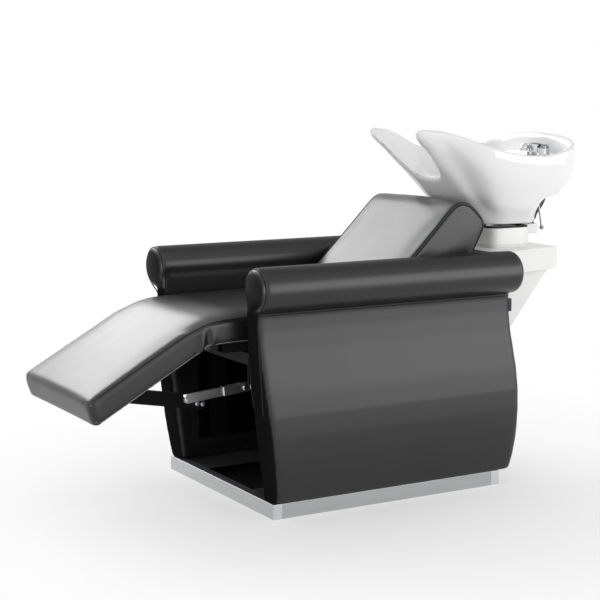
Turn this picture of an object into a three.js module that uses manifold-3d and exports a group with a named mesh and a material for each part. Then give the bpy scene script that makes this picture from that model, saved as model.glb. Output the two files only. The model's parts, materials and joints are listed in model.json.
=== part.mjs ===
// Salon wash unit: an armchair with a folding leg rest, and a tilting ceramic basin on a rear console.
// Millimetres, +Z up, -Y towards the feet, +X to the sitter's left, floor at z = 0.
import * as THREE from 'three';
import { mergeVertices } from 'three/addons/utils/BufferGeometryUtils.js';
import Module from 'manifold-3d';

const wasm = await Module();
wasm.setup();

// Clearances shared by all pieces
const seated = 0.3;
const running = 0.5;
const overrun = 3;
const weld = 0.0001;

// Side panels and arm rolls. Heights run up from the floor, lengths back from the front of the arms
const innerWidth = 461;
const armRadius = 55;
const armLength = 764;
const armTop = 619;
const armEdge = 8;
const sideThick = 52;
const sideBulge = 30;
const sideFrontLean = 46;
const sideRearBulge = 16;
const sideCorner = 20;
const coreThick = 18;
const coreMargin = 34;
const halfInner = innerWidth / 2;
const armAxisX = halfInner + armRadius;
const armAxisZ = armTop - armRadius;

// Stainless plinth
const baseFront = 45;
const baseRear = 727;
const plinthReach = 8.5;
const baseHeight = 38;
const railWidth = 26;
const railSheet = 2;
const baseBoardThick = 12;
const stripInner = 127;
const stripThick = 4;
const baseHalf = halfInner + sideThick + plinthReach;

// Seat pad and the steel frame under it
const seatTop = 503.5;
const seatThick = 75;
const seatGap = 10.5;
const seatRear = 640;
const seatCrown = 4;
const padRound = 9;
const padDraw = 3;
const boardThick = 14;
const boardMargin = 12;
const tubeSize = 30;
const tubeWall = 2;
const railInset = 80.5;
const railFront = -25;
const railOverhang = 52;
const crossFront = 45;
const crossMiddle = 265;
const crossRear = 545;
const flangeSize = 70;
const flangeThick = 4;
const seatBottom = seatTop - seatThick;
const seatHalf = halfInner - seatGap;
const railSpread = halfInner - railInset;

// Leg rest, hinged at the underside of the knee
const kneeY = -78;
const hingeDrop = 7.5;
const legSlope = THREE.MathUtils.degToRad(30);
const legLength = 347;
const legThick = 70;
const legEndLean = THREE.MathUtils.degToRad(12);
const legBoardThick = 12;
const kneeZ = seatBottom - hingeDrop;

// Knee hinge
const knuckleRadius = 6;
const hingePinRadius = 2.5;
const leafThick = 3;
const leafLength = 42;
const leafMargin = 30;
const knuckleCount = 9;
const leafHalf = seatHalf - leafMargin;

// Lifting lever under the leg rest, with the link and the linear drive that push it
const leverAngle = THREE.MathUtils.degToRad(40.5);
const leverFoot = 256;
const leverLength = 325;
const leverHeight = 36;
const leverWidth = 20;
const leverNear = -12;
const leverPlateLength = 110;
const leverPlateHalf = 45;
const leverPlateThick = 5;
const linkPinAlong = 262;
const linkPinUp = 8;
const boltAlongs = [298, 314];
const boltDown = 3;
const boltRadius = 3.7;
const boltHead = 6.5;
const boltHeadThick = 4;
const linkLength = 163.4;
const linkHeight = 22;
const linkThick = 10;
const forkWidth = 20;
const forkReach = 62;
const forkTail = 12;
const forkRound = 8;
const forkStep = 1;
const rodEye = 8;
const linkPinRadius = 4.5;
const linkPinHead = 9;
const linkPinHeadThick = 5;
const driveAxisZ = 272.5;
const rodRadius = 8;
const rodLength = 152;
const rodEyeLength = 18;
const rodEyeRound = 3;
const tubeFront = 248;
const tubeLength = 152;
const driveTubeRadius = 18;
const driveTubeEdge = 2;
const saddleMargin = 10;
const saddleRound = 8;
const boreDepth = 134;
const motorLength = 96;
const motorHalf = 30;
const motorRadius = 26;
const motorRound = 9;
const driveLug = 10;
const driveLugLength = 26;
const driveLugRound = 10;
const drivePinRadius = 5;

// Backrest, a wedge that leans back over the rear of the seat
const backFoot = 400;
const backSlope = THREE.MathUtils.degToRad(44.4);
const backLength = 375;
const backTopSlope = THREE.MathUtils.degToRad(43.6);
const backTopDepth = 113;
const backRearSlope = THREE.MathUtils.degToRad(61.5);
const backGap = 30.5;
const backCrown = 7;
const backTopRound = 56;
const backRearRound = 30;
const backBoardThick = 15;
const backBoardMargin = 35;
const backBoardLength = 130;
const bracketThick = 6;
const bracketWidth = 42;
const bracketSetback = 9;
const backHalf = halfInner - backGap;
const backBoardHalf = backHalf - backBoardMargin;

// Console behind the chair: housing, tray and column
const consoleHalf = 146;
const consoleFoot = 600;
const consoleFront = 702;
const consoleStep = 392;
const heelSetback = 4;
const consoleRear = 997;
const consoleSlope = THREE.MathUtils.degToRad(50.6);
const consoleWall = 4;
const consoleRound = 10;
const consoleHeel = baseRear - heelSetback;
const trayTop = 605;
const trayThick = 60;
const trayFront = 770;
const trayRear = 1020;
const trayFrontHalf = 215;
const trayRearHalf = 156;
const trayRound = 6;
const trayWall = 4;
const trayRecess = 1.5;
const columnFront = 822;
const columnRear = 961;
const columnHalf = 120;
const columnRound = 34;
const columnWall = 5;
const columnTop = 659;
const columnFoot = 8;
const accessHalf = 110;
const accessLow = 60;
const accessHigh = 300;
const accessThick = 2.5;
const accessLip = 10;

// Wash basin, from the tips of the two horns to the rear rim
const basinTip = 571;
const basinLength = 499;
const basinHalf = 213;
const notchZ = 800;
const hornZ = 927;
const lipWidth = 17;
const lipCrown = 3;
const lipDrop = 3;
const bowlFront = 787;
const bowlRear = 930;
const bowlHalf = 100;
const bowlZ = 745;
const bowlSink = 9;
const drainY = 885;
const drainRadius = 24;
const potWall = 13;
const skirtZ = 669;
const skirtFront = 806;
const skirtRear = 1000;
const skirtHalf = 118;
const skirtWall = 12;

// Tilt joint of the basin
const gasketThick = 4;
const gasketInset = 3;
const gasketWidth = 14;
const tiltPlateThick = 3;
const tiltPlateHalf = 84;
const tiltPlateRear = 930;
const tiltY = 850;
const tiltZ = 681;
const tiltPinRadius = 4;
const tiltEye = 9;
const tiltEarX = 62;
const tiltEarWidth = 10;
const carrierThick = 4;
const carrierHalf = 82;
const carrierRear = 928;

// Water fittings
const mixerX = 86;
const mixerY = 1018;
const deckZ = 853;
const mixerRadius = 17.5;
const mixerHeight = 19;
const mixerFlange = 20;
const mixerTailRadius = 12;
const mixerTail = 48;
const capHeight = 12;
const leverReach = 44;
const leverRise = 7;
const leverBar = 4;
const handsetX = 33;
const handsetY = 1018;
const handsetRadius = 11;
const handsetLift = 16;
const handsetStem = 7.5;
const dockHeight = 9;
const dockFlange = 17;
const dockTail = 44;
const bushRadius = 6.5;
const bushThick = 3;
const hoseRadius = 5;
const hoseSpread = 9;
const blockHalf = 78;
const blockDepth = 52;
const blockHeight = 27;
const strainerRadius = 30;
const strainerThick = 4;
const wasteRadius = 18;
const wasteWall = 2.5;
const trapRadius = 32;
const trapHeight = 95;
const trapZ = 470;
const outletY = 736;
const outletZ = 486;
const outletLow = 215;
const outletRadius = 14;
const tiltLeverX = 114;
const tiltLeverY = 980;
const tiltLeverTop = 740;
const tiltLeverLength = 86;
const tiltLeverLean = THREE.MathUtils.degToRad(11);
const tiltLeverWidth = 5;
const tiltLeverThick = 2.5;
const tiltLeverEye = 5;
const tiltStudRadius = 2;
const tiltStudLength = 26;
const tiltKnobRadius = 6;

// Finishes
const colours = {
  vinyl: [0x232324, 0.5, 0], wood: [0xb08a5c, 0.8, 0], steel: [0xc4c6c8, 0.35, 1],
  blackSteel: [0x1b1b1c, 0.45, 0.3], chrome: [0xd8dadd, 0.08, 1], board: [0x151515, 0.7, 0],
  white: [0xf1f1ef, 0.35, 0], ceramic: [0xf7f7f5, 0.08, 0], rubber: [0x141414, 0.8, 0],
  plastic: [0x1d1d1e, 0.55, 0], zinc: [0x9a9c9e, 0.4, 1], braid: [0x3a3b3d, 0.5, 0.4],
};

const unit = new THREE.Group();
const leg = new THREE.Group();

// Puts a finished solid on the unit, or on one of its turned groups, under its own name
function place(name, geometry, finish, parent = unit) {
  const [color, roughness, metalness] = colours[finish];
  const mesh = new THREE.Mesh(geometry, new THREE.MeshStandardMaterial({ color, roughness, metalness }));
  mesh.name = name;
  parent.add(mesh);
  return mesh;
}

// Turns a geometry into a solid, with its shared corners merged and its faces pointing outwards
function solid(geometry) {
  const bare = geometry.clone();
  bare.deleteAttribute('normal');
  bare.deleteAttribute('uv');
  const merged = mergeVertices(bare, weld);
  const at = merged.attributes.position;
  const index = merged.index.array;
  const corners = [0, 1, 2].map(() => new THREE.Vector3());
  const faces = [];
  let volume = 0;
  for (let i = 0; i < index.length; i += 3) {
    const [a, b, c] = [index[i], index[i + 1], index[i + 2]];
    if (a === b || b === c || c === a) continue;
    faces.push(a, b, c);
    corners.forEach((corner, k) => corner.fromBufferAttribute(at, [a, b, c][k]));
    volume += corners[0].dot(corners[1].clone().cross(corners[2]));
  }
  if (volume < 0) faces.reverse();
  return new wasm.Manifold(new wasm.Mesh({
    numProp: 3, vertProperties: Float32Array.from(at.array), triVerts: Uint32Array.from(faces),
  }));
}

function geometryOf(body) {
  const mesh = body.getMesh();
  const geometry = new THREE.BufferGeometry();
  geometry.setAttribute('position', new THREE.BufferAttribute(Float32Array.from(mesh.vertProperties), 3));
  geometry.setIndex(new THREE.BufferAttribute(Uint32Array.from(mesh.triVerts), 1));
  return geometry;
}

function joined(...pieces) {
  return geometryOf(pieces.map(solid).reduce((all, one) => all.add(one)));
}

function cut(piece, ...cutters) {
  return geometryOf(cutters.map(solid).reduce((all, one) => all.subtract(one), solid(piece)));
}

function common(piece, room) {
  return geometryOf(solid(piece).intersect(solid(room)));
}

// Mirrors a piece to the sitter's right
function mirrored(geometry) {
  const copy = geometry.clone();
  copy.scale(-1, 1, 1);
  return geometryOf(solid(copy));
}

function block(x0, x1, y0, y1, z0, z1) {
  const box = new THREE.BoxGeometry(x1 - x0, y1 - y0, z1 - z0);
  return box.translate((x0 + x1) / 2, (y0 + y1) / 2, (z0 + z1) / 2);
}

// A bar along X, Y or Z between two places on that axis
function rod(axis, radius, from, to, centre, sides = 24) {
  const shape = new THREE.CylinderGeometry(radius, radius, to - from, sides);
  if (axis === 'x') shape.rotateZ(-Math.PI / 2).translate((from + to) / 2, centre[0], centre[1]);
  if (axis === 'y') shape.translate(centre[0], (from + to) / 2, centre[1]);
  if (axis === 'z') shape.rotateX(Math.PI / 2).translate(centre[0], centre[1], (from + to) / 2);
  return shape;
}

// A turned piece. The profile holds [radius, place along the axis], and starts and ends on the axis
function turned(axis, profile, centre, sides = 28) {
  const shape = new THREE.LatheGeometry(profile.map(([r, a]) => new THREE.Vector2(r, a)), sides);
  if (axis === 'x') shape.rotateZ(-Math.PI / 2).translate(0, centre[0], centre[1]);
  if (axis === 'y') shape.translate(centre[0], 0, centre[1]);
  if (axis === 'z') shape.rotateX(Math.PI / 2).translate(centre[0], centre[1], 0);
  return geometryOf(solid(shape));
}

// An outline with its corners rounded, each with its own radius
function rounded(corners, radii, steps = 4) {
  const out = [];
  corners.forEach((corner, i) => {
    const here = new THREE.Vector2(...corner);
    const before = new THREE.Vector2(...corners.at(i - 1)).sub(here);
    const after = new THREE.Vector2(...corners[(i + 1) % corners.length]).sub(here);
    const radius = Array.isArray(radii) ? radii[i] : radii;
    if (radius === 0) {
      out.push(here);
      return;
    }
    const half = Math.acos(before.clone().normalize().dot(after.clone().normalize())) / 2;
    const reach = Math.min(radius / Math.tan(half), before.length() / 2, after.length() / 2);
    const start = here.clone().addScaledVector(before.normalize(), reach);
    const end = here.clone().addScaledVector(after.normalize(), reach);
    const bend = new THREE.QuadraticBezierCurve(start, here, end);
    out.push(...bend.getPoints(steps));
  });
  return out;
}

function extruded(outline, depth, holes = []) {
  const shape = new THREE.Shape(outline);
  holes.forEach((hole) => shape.holes.push(new THREE.Path(hole)));
  return new THREE.ExtrudeGeometry(shape, { depth, bevelEnabled: false });
}

// A plate whose outline is drawn in Y and Z, from x0 to x1
function sidePlate(outline, x0, x1, holes) {
  const turn = new THREE.Matrix4().makeBasis(
    new THREE.Vector3(0, 1, 0), new THREE.Vector3(0, 0, 1), new THREE.Vector3(1, 0, 0));
  return extruded(outline, x1 - x0, holes).applyMatrix4(turn).translate(x0, 0, 0);
}

// A plate whose outline is drawn in X and Z, from y0 to y1
function crossPlate(outline, y0, y1, holes) {
  const turn = new THREE.Matrix4().makeBasis(
    new THREE.Vector3(1, 0, 0), new THREE.Vector3(0, 0, 1), new THREE.Vector3(0, -1, 0));
  return extruded(outline, y1 - y0, holes).applyMatrix4(turn).translate(0, y1, 0);
}

function flatPlate(outline, z0, z1, holes) {
  return extruded(outline, z1 - z0, holes).translate(0, 0, z0);
}

// Moves a line of 2D points to its left by a distance, with mitred corners
function offsetPath(points, distance, closed) {
  const way = (from, to) => to.clone().sub(from).normalize();
  const count = points.length;
  return points.map((p, i) => {
    const last = !closed && i === count - 1;
    const into = !closed && i === 0 ? way(p, points[1]) : way(points.at(i - 1), p);
    const out = last ? into : way(p, points[(i + 1) % count]);
    const spread = 1 + into.dot(out);
    return new THREE.Vector2(p.x - ((into.y + out.y) * distance) / spread,
      p.y + ((into.x + out.x) * distance) / spread);
  });
}

// The outline of a strip of even thickness along a line
function ribbon(points, thickness) {
  const back = offsetPath(points, -thickness / 2, false).reverse();
  return [...offsetPath(points, thickness / 2, false), ...back];
}

function rectangle(x0, x1, y0, y1) {
  return [[x0, y0], [x1, y0], [x1, y1], [x0, y1]];
}

function circle(x, y, radius, sides = 24) {
  return new THREE.EllipseCurve(x, y, radius, radius).getPoints(sides).slice(0, sides);
}

// A skin over rings of points. The ends are closed flat, or the last ring meets the first
function lofted(rings, closed = false) {
  const count = rings[0].length;
  const points = rings.flat().flatMap((p) => [p.x, p.y, p.z]);
  const faces = [];
  const spans = closed ? rings.length : rings.length - 1;
  for (let r = 0; r < spans; r += 1) {
    const low = r * count;
    const high = ((r + 1) % rings.length) * count;
    for (let i = 0; i < count; i += 1) {
      const next = (i + 1) % count;
      faces.push(low + i, low + next, high + next, low + i, high + next, high + i);
    }
  }
  if (!closed) {
    [0, rings.length - 1].forEach((r) => {
      const middle = rings[r].reduce((sum, p) => sum.add(p), new THREE.Vector3()).divideScalar(count);
      const hub = points.length / 3;
      points.push(middle.x, middle.y, middle.z);
      for (let i = 0; i < count; i += 1) {
        const edge = [r * count + i, r * count + ((i + 1) % count)];
        faces.push(...(r === 0 ? [edge[1], edge[0]] : edge), hub);
      }
    });
  }
  const geometry = new THREE.BufferGeometry();
  geometry.setAttribute('position', new THREE.Float32BufferAttribute(points, 3));
  geometry.setIndex(faces);
  return geometryOf(solid(geometry));
}

// A round bar that follows a smooth curve through its points
function bent(points, radius, steps, sides = 10) {
  const path = new THREE.CatmullRomCurve3(points.map((p) => new THREE.Vector3(...p)), false, 'centripetal');
  const section = new THREE.Shape(circle(0, 0, radius, sides));
  const bar = new THREE.ExtrudeGeometry(section, { steps, extrudePath: path, bevelEnabled: false });
  return geometryOf(solid(bar));
}

// Side panels: an upholstered slab that swells outwards and backwards, leans back at the front
// and stops under the arm roll. Rows: height, bulge, front lean and rear bulge, all as shares
const sideShares = [
  [0, 0.4, 1, 0], [0.03, 0.53, 0.95, 0.16], [0.08, 0.68, 0.89, 0.4], [0.15, 0.83, 0.79, 0.64],
  [0.24, 0.95, 0.67, 0.85], [0.35, 1, 0.53, 0.96], [0.46, 0.93, 0.39, 0.98], [0.58, 0.72, 0.25, 0.82],
  [0.69, 0.46, 0.15, 0.49], [0.8, 0.21, 0.07, 0.14], [0.9, 0.06, 0.02, 0.02], [1, 0, 0, 0],
];
const sideFoot = baseHeight + seated;
const sideRim = armAxisZ - armRadius;
const sideCrest = armAxisZ - armRadius * 0.36;

function sidePad() {
  const rings = sideShares.map(([height, bulge, lean, rear]) => {
    const z = THREE.MathUtils.lerp(sideFoot, sideRim, height);
    const outer = halfInner + sideThick + sideBulge * bulge;
    const outline = rectangle(halfInner, outer, sideFrontLean * lean, armLength + sideRearBulge * rear);
    return rounded(outline, sideCorner, 3).map((p) => new THREE.Vector3(p.x, p.y, z));
  });
  rings.push(rings.at(-1).map((p) => new THREE.Vector3(p.x, p.y, sideCrest)));
  const roll = rod('y', armRadius + seated, -overrun, armLength + sideRearBulge, [armAxisX, armAxisZ], 40);
  const pocket = block(halfInner - overrun, halfInner + coreThick + seated,
    sideFrontLean + coreMargin - seated, armLength - coreMargin + seated,
    sideFoot + coreMargin - seated, sideRim - coreMargin + seated);
  return cut(lofted(rings), roll, pocket);
}

const core = block(halfInner, halfInner + coreThick, sideFrontLean + coreMargin, armLength - coreMargin,
  sideFoot + coreMargin, sideRim - coreMargin);
const pad = sidePad();
const rollProfile = [[0, 0], [armRadius - armEdge, 0], [armRadius - armEdge * 0.3, armEdge * 0.3],
  [armRadius, armEdge], [armRadius, armLength - armEdge],
  [armRadius - armEdge * 0.3, armLength - armEdge * 0.3], [armRadius - armEdge, armLength], [0, armLength]];
const roll = turned('y', rollProfile, [armAxisX, armAxisZ], 40);
[['left', (g) => g], ['right', mirrored]].forEach(([side, hand]) => {
  place(`side_core_${side}`, hand(core), 'board');
  place(`side_pad_${side}`, hand(pad), 'vinyl');
  place(`arm_roll_${side}`, hand(roll), 'vinyl');
});

// Plinth: four folded channels that open inwards, with a board on their lower flanges
function channel(depth) {
  const under = baseHeight - railSheet;
  return [[0, 0], [depth, 0], [depth, railSheet], [railSheet, railSheet], [railSheet, under],
    [depth, under], [depth, baseHeight], [0, baseHeight]];
}

const railOutline = channel(railWidth);
const frontRail = railOutline.map(([y, z]) => [baseFront + y, z]);
const rearRail = railOutline.map(([y, z]) => [baseRear - y, z]).reverse();
const leftRail = railOutline.map(([x, z]) => [baseHalf - x, z]).reverse();
const railInFront = baseFront + railWidth + seated;
const railInRear = baseRear - railWidth - seated;

// The front and rear channels run the full width and are closed at both ends
function longRail(outline, from, to) {
  const bar = sidePlate(outline.map((p) => new THREE.Vector2(...p)), -baseHalf, baseHalf);
  const end = (x) => block(x, x + railSheet, from, to, 0, baseHeight);
  return joined(bar, end(-baseHalf), end(baseHalf - railSheet));
}

place('base_rail_front', longRail(frontRail, baseFront, baseFront + railWidth), 'steel');
place('base_rail_rear', longRail(rearRail, baseRear - railWidth, baseRear), 'steel');
const leftRailBar = crossPlate(leftRail.map((p) => new THREE.Vector2(...p)), railInFront, railInRear);
place('base_rail_left', leftRailBar, 'steel');
place('base_rail_right', mirrored(leftRailBar), 'steel');
const insideWall = railSheet + seated;
place('base_board', block(-baseHalf + insideWall, baseHalf - insideWall, baseFront + insideWall,
  baseRear - insideWall, insideWall, insideWall + baseBoardThick), 'board');
const stripTop = baseHeight - railSheet - seated;
const strip = block(stripInner, baseHalf - insideWall, railInFront, railInRear,
  stripTop - stripThick, stripTop);
place('side_plate_left', strip, 'steel');
place('side_plate_right', mirrored(strip), 'steel');

// Seat frame: two rails along the seat on three cross tubes that end in flanges at the side panels
const railTop = seatBottom - seated;
const railBottom = railTop - tubeSize;
const crossTop = railBottom - seated;
const crossBottom = crossTop - tubeSize;
const frameRear = seatRear + railOverhang;

function squareTube(x, z, size, wall) {
  const outer = rectangle(x - size / 2, x + size / 2, z, z + size).map((p) => new THREE.Vector2(...p));
  const inner = rectangle(x - size / 2 + wall, x + size / 2 - wall, z + wall, z + size - wall);
  return [outer, [inner.map((p) => new THREE.Vector2(...p))]];
}

const [railShape, railHole] = squareTube(railSpread, railBottom, tubeSize, tubeWall);
const seatRail = crossPlate(railShape, railFront, frameRear, railHole);
place('seat_rail_left', seatRail, 'blackSteel');
place('seat_rail_right', mirrored(seatRail), 'blackSteel');

const crossReach = halfInner - seated;

function crossTube(y) {
  const [shape, hole] = squareTube(y, crossBottom, tubeSize, tubeWall);
  const flangeLine = rectangle(y - flangeSize / 2, y + flangeSize / 2, crossTop - flangeSize, crossTop);
  const flange = (x0, x1) => sidePlate(flangeLine.map((p) => new THREE.Vector2(...p)), x0, x1, hole);
  return joined(sidePlate(shape, -crossReach, crossReach, hole),
    flange(-crossReach, flangeThick - crossReach), flange(crossReach - flangeThick, crossReach));
}

// The middle tube carries the saddle round the drive, the rear tube the fork that holds its tail
const saddleHalf = driveTubeRadius + saddleMargin;
const saddle = crossPlate(
  rounded(rectangle(-saddleHalf, saddleHalf, driveAxisZ - saddleHalf, crossBottom),
    [saddleRound, saddleRound, 0, 0]),
  crossMiddle - leverWidth / 4, crossMiddle + leverWidth / 4,
  [circle(0, driveAxisZ, driveTubeRadius + seated, 28)]);
const forkGap = driveLug / 2 + seated;
const forkWall = bracketThick;
const forkHalf = tubeSize / 2;
const cheek = (x0, x1) => block(x0, x1, crossRear - forkHalf, crossRear + forkHalf,
  driveAxisZ - forkHalf, crossBottom + tubeWall);
const drivePin = rod('x', drivePinRadius, -forkGap - forkWall - overrun, forkGap + forkWall + overrun,
  [crossRear, driveAxisZ]);
place('seat_cross_front', crossTube(crossFront), 'blackSteel');
place('seat_cross_middle', joined(crossTube(crossMiddle), saddle), 'blackSteel');
place('seat_cross_rear', joined(crossTube(crossRear), cheek(-forkGap - forkWall, -forkGap),
  cheek(forkGap, forkGap + forkWall), drivePin), 'blackSteel');

// Upholstered pad: sections across the width, one after the other along Y. Each station gives the
// place along Y, how far the section leans per unit of height, and how much it is drawn in all round
function padSection(half, low, high, crown, round) {
  const edge = [[half - round, low], [half - round * 0.3, low + round * 0.3], [half, low + round],
    [half, high - round], [half - round * 0.3, high - round * 0.3], [half - round, high],
    [half * 0.7, high + crown * 0.51], [half * 0.36, high + crown * 0.87], [0, high + crown]];
  const other = edge.slice(0, -1).map(([x, z]) => [-x, z]).reverse();
  return [...edge, ...other];
}

function upholstered(stations, half, low, high, crown) {
  return lofted(stations.map(({ y, lean, inset, draw, drop = 0 }) => {
    const section = padSection(half - inset - draw, low + inset, high - inset - drop, crown, padRound);
    return section.map(([x, z]) => new THREE.Vector3(x, y + lean * (z - low), z));
  }));
}

// Seat pad: its front end meets the leg rest on the plane that halves the knee angle
const kneeLean = Math.tan(legSlope / 2);
const kneeGap = seated;
const seatFrontY = kneeY + kneeGap - hingeDrop * kneeLean;
const kneeRoll = 7;
const seatRun = seatRear - seatFrontY;
const seatShares = [[0.02, 0.3, 0.72], [0.05, 0.6, 0.3], [0.09, 0.9, 0.02], [0.3, 1, 0],
  [0.6, 1, 0], [0.9, 0.5, 0]];
const seatStations = [
  { y: seatFrontY, lean: -kneeLean, inset: 0, draw: 0, drop: kneeRoll },
  ...seatShares.map(([share, draw, drop]) => ({
    y: seatFrontY + seatRun * share, lean: -kneeLean * drop, inset: 0, draw: padDraw * draw,
    drop: kneeRoll * drop,
  })),
  { y: seatRear - padRound, lean: 0, inset: 0, draw: 0 },
  { y: seatRear, lean: 0, inset: padRound, draw: 0 },
];
const seatBoardFront = seatFrontY + boardMargin;
const seatBoardRear = seatRear - boardMargin;
const seatBoardHalf = seatHalf - boardMargin;
const seatBody = upholstered(seatStations, seatHalf, seatBottom, seatTop - seatCrown, seatCrown);
const seatPocket = block(-seatBoardHalf - seated, seatBoardHalf + seated, seatBoardFront - seated,
  seatBoardRear + seated, seatBottom - overrun, seatBottom + boardThick + seated);
place('seat_cushion', cut(seatBody, seatPocket), 'vinyl');
place('seat_board', block(-seatBoardHalf, seatBoardHalf, seatBoardFront, seatBoardRear,
  seatBottom, seatBottom + boardThick), 'wood');

// Leg rest, drawn level with its hinge axis at the origin and then turned down about that axis
leg.position.set(0, kneeY, kneeZ);
leg.rotation.x = legSlope;
unit.add(leg);
const legLow = hingeDrop;
const legHigh = hingeDrop + legThick;
const legRearY = legLow * kneeLean - kneeGap;
const legRun = legLength + legRearY;
const legEnd = Math.tan(legEndLean);
const legShares = [[0.1, 0.8, 0], [0.5, 1, 0], [0.8, 0.8, 0], [0.9, 0.5, 0.25], [0.96, 0.2, 0.65]];
const legStations = [
  { y: -legLength, lean: legEnd, inset: padRound, draw: 0 },
  { y: -legLength + padRound, lean: legEnd, inset: 0, draw: 0 },
  ...legShares.map(([share, draw, drop]) => ({
    y: -legLength + legRun * share, lean: kneeLean * drop, inset: 0, draw: padDraw * draw,
    drop: (kneeRoll * drop) / 2,
  })),
  { y: legRearY, lean: kneeLean, inset: 0, draw: 0, drop: kneeRoll / 2 },
];
const legBoardFront = boardMargin * 1.5 - legLength;
const legBoardRear = legRearY - boardMargin;
const legBody = upholstered(legStations, seatHalf, legLow, legHigh - seatCrown, seatCrown);
const legPocket = block(-seatBoardHalf - seated, seatBoardHalf + seated, legBoardFront - seated,
  legBoardRear + seated, legLow - overrun, legLow + legBoardThick + seated);
place('legrest_cushion', cut(legBody, legPocket), 'vinyl', leg);
place('legrest_board', block(-seatBoardHalf, seatBoardHalf, legBoardFront, legBoardRear, legLow,
  legLow + legBoardThick), 'wood', leg);

// Knee hinge: two leaves whose knuckles take turns along one pin, which is fixed in the seat leaf
const knucklePitch = (leafHalf * 2) / knuckleCount;

function hingeLeaf(ahead, first) {
  const top = hingeDrop - seated;
  const plate = ahead ? block(-leafHalf, leafHalf, -leafLength, 0, top - leafThick, top)
    : block(-leafHalf, leafHalf, 0, leafLength, top - leafThick, top);
  const spans = Array.from({ length: knuckleCount }, (_, i) => [i, -leafHalf + i * knucklePitch]);
  const own = spans.filter(([i]) => i % 2 === first);
  const others = spans.filter(([i]) => i % 2 !== first);
  const bar = (radius, from, to) => rod('x', radius, from, to, [0, 0], 16);
  const barrels = own.map(([, x]) => bar(knuckleRadius, x + seated, x + knucklePitch - seated));
  const rooms = others.map(([, x]) => bar(knuckleRadius + running * 2, x, x + knucklePitch));
  const leaf = cut(joined(plate, ...barrels), ...rooms);
  const pin = (grow) => bar(hingePinRadius + grow, -leafHalf - grow, leafHalf + grow);
  return ahead ? cut(leaf, pin(seated)) : joined(leaf, pin(0));
}

const knee = [0, kneeY, kneeZ];
place('knee_leaf_seat', hingeLeaf(false, 0).translate(...knee), 'zinc');
place('knee_leaf_legrest', hingeLeaf(true, 1), 'zinc', leg);

// Lifting lever: a flat bar welded to a plate under the leg rest board, drawn along its own length
// and then turned down into place, with holes for the two bolts
const leverFar = leverNear - leverWidth;
const leverTurn = new THREE.Matrix4().makeRotationX(-leverAngle)
  .setPosition(0, -leverFoot, legLow - seated - leverPlateThick / 2);
const leverTaper = leverHeight * 0.35;
const leverEdge = leverHeight / 2;
const leverLine = [[0, -leverEdge], [leverLength - leverTaper, -leverEdge],
  [leverLength, leverTaper - leverEdge], [leverLength, leverEdge], [0, leverEdge],
].map((p) => new THREE.Vector2(...p));
const boltHoles = boltAlongs.map((y) => circle(y, -boltDown, boltRadius + seated, 16));
const leverBlank = sidePlate(leverLine, leverFar, leverNear, boltHoles).applyMatrix4(leverTurn);
const leverPlateTop = legLow - seated;
const leverTrim = block(-seatHalf, seatHalf, -legLength, 0, leverPlateTop - leverPlateThick / 2, legHigh);
const leverPlate = block(-leverPlateHalf, leverPlateHalf, -leverFoot - leverPlateLength / 2,
  -leverFoot + leverPlateLength / 2, leverPlateTop - leverPlateThick, leverPlateTop);
place('legrest_lever', joined(cut(leverBlank, leverTrim), leverPlate), 'blackSteel', leg);

// Through bolts with a domed head on the near side of the lever and a nut on the far side
['front', 'rear'].forEach((end, i) => {
  const near = leverNear + seated;
  const far = leverFar - seated;
  const profile = [[0, far - boltHeadThick], [boltHead, far - boltHeadThick], [boltHead, far],
    [boltRadius, far], [boltRadius, near], [boltHead, near], [boltHead * 0.85, near + boltHeadThick * 0.7],
    [0, near + boltHeadThick]];
  const bolt = turned('x', profile, [boltAlongs[i], -boltDown], 16);
  place(`lever_bolt_${end}`, bolt.applyMatrix4(leverTurn), 'chrome', leg);
});

// The link's front pin sits on the lever. From there the link runs back to the eye of the drive rod
const linkPin = new THREE.Vector3(0, linkPinAlong, linkPinUp).applyMatrix4(leverTurn)
  .applyEuler(new THREE.Euler(legSlope, 0, 0)).add(leg.position);
const linkRise = driveAxisZ - linkPin.z;
const eyeY = linkPin.y + Math.sqrt(linkLength ** 2 - linkRise ** 2);
const linkTilt = Math.asin(linkRise / linkLength);
const linkTurn = new THREE.Matrix4().makeRotationX(linkTilt).setPosition(0, eyeY, driveAxisZ);
const linkHalf = linkHeight / 2;

// Push link: a flat bar with a round front eye that widens into a fork at the back
const linkLine = rounded(rectangle(-linkLength - linkHalf, -forkReach + overrun, -linkHalf, linkHalf),
  [linkHalf, 0, 0, linkHalf]);
const linkBar = sidePlate(linkLine, -linkThick / 2, linkThick / 2,
  [circle(-linkLength, 0, linkPinRadius + seated, 16)]);
const forkLine = rounded(rectangle(-forkReach, forkTail, -linkHalf, linkHalf),
  [forkStep, forkRound, forkRound, forkStep]);
const forkBody = sidePlate(forkLine, -forkWidth / 2, forkWidth / 2,
  [circle(0, 0, linkPinRadius + seated, 16)]);
const forkSlot = rodEye / 2 + running;
const slotCut = block(-forkSlot, forkSlot, -forkReach / 2, forkTail + overrun, -linkHeight, linkHeight);
const pushLink = cut(joined(linkBar, forkBody), slotCut);
place('push_link', pushLink.applyMatrix4(linkTurn), 'chrome');
const frontPin = [[0, leverNear + running], [linkPinRadius, leverNear + running],
  [linkPinRadius, linkThick / 2 + seated], [linkPinRadius * 1.7, linkThick / 2 + seated],
  [linkPinRadius * 1.5, linkThick / 2 + boltHeadThick], [0, linkThick / 2 + boltHeadThick]];
place('link_pin_front', turned('x', frontPin, [linkPin.y, linkPin.z], 16), 'chrome');
const forkSide = forkWidth / 2;
const rearPin = [[0, -forkSide], [linkPinRadius, -forkSide], [linkPinRadius, forkSide + seated],
  [linkPinHead, forkSide + seated], [linkPinHead, forkSide + linkPinHeadThick * 0.7],
  [linkPinHead * 0.8, forkSide + linkPinHeadThick], [0, forkSide + linkPinHeadThick]];
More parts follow.
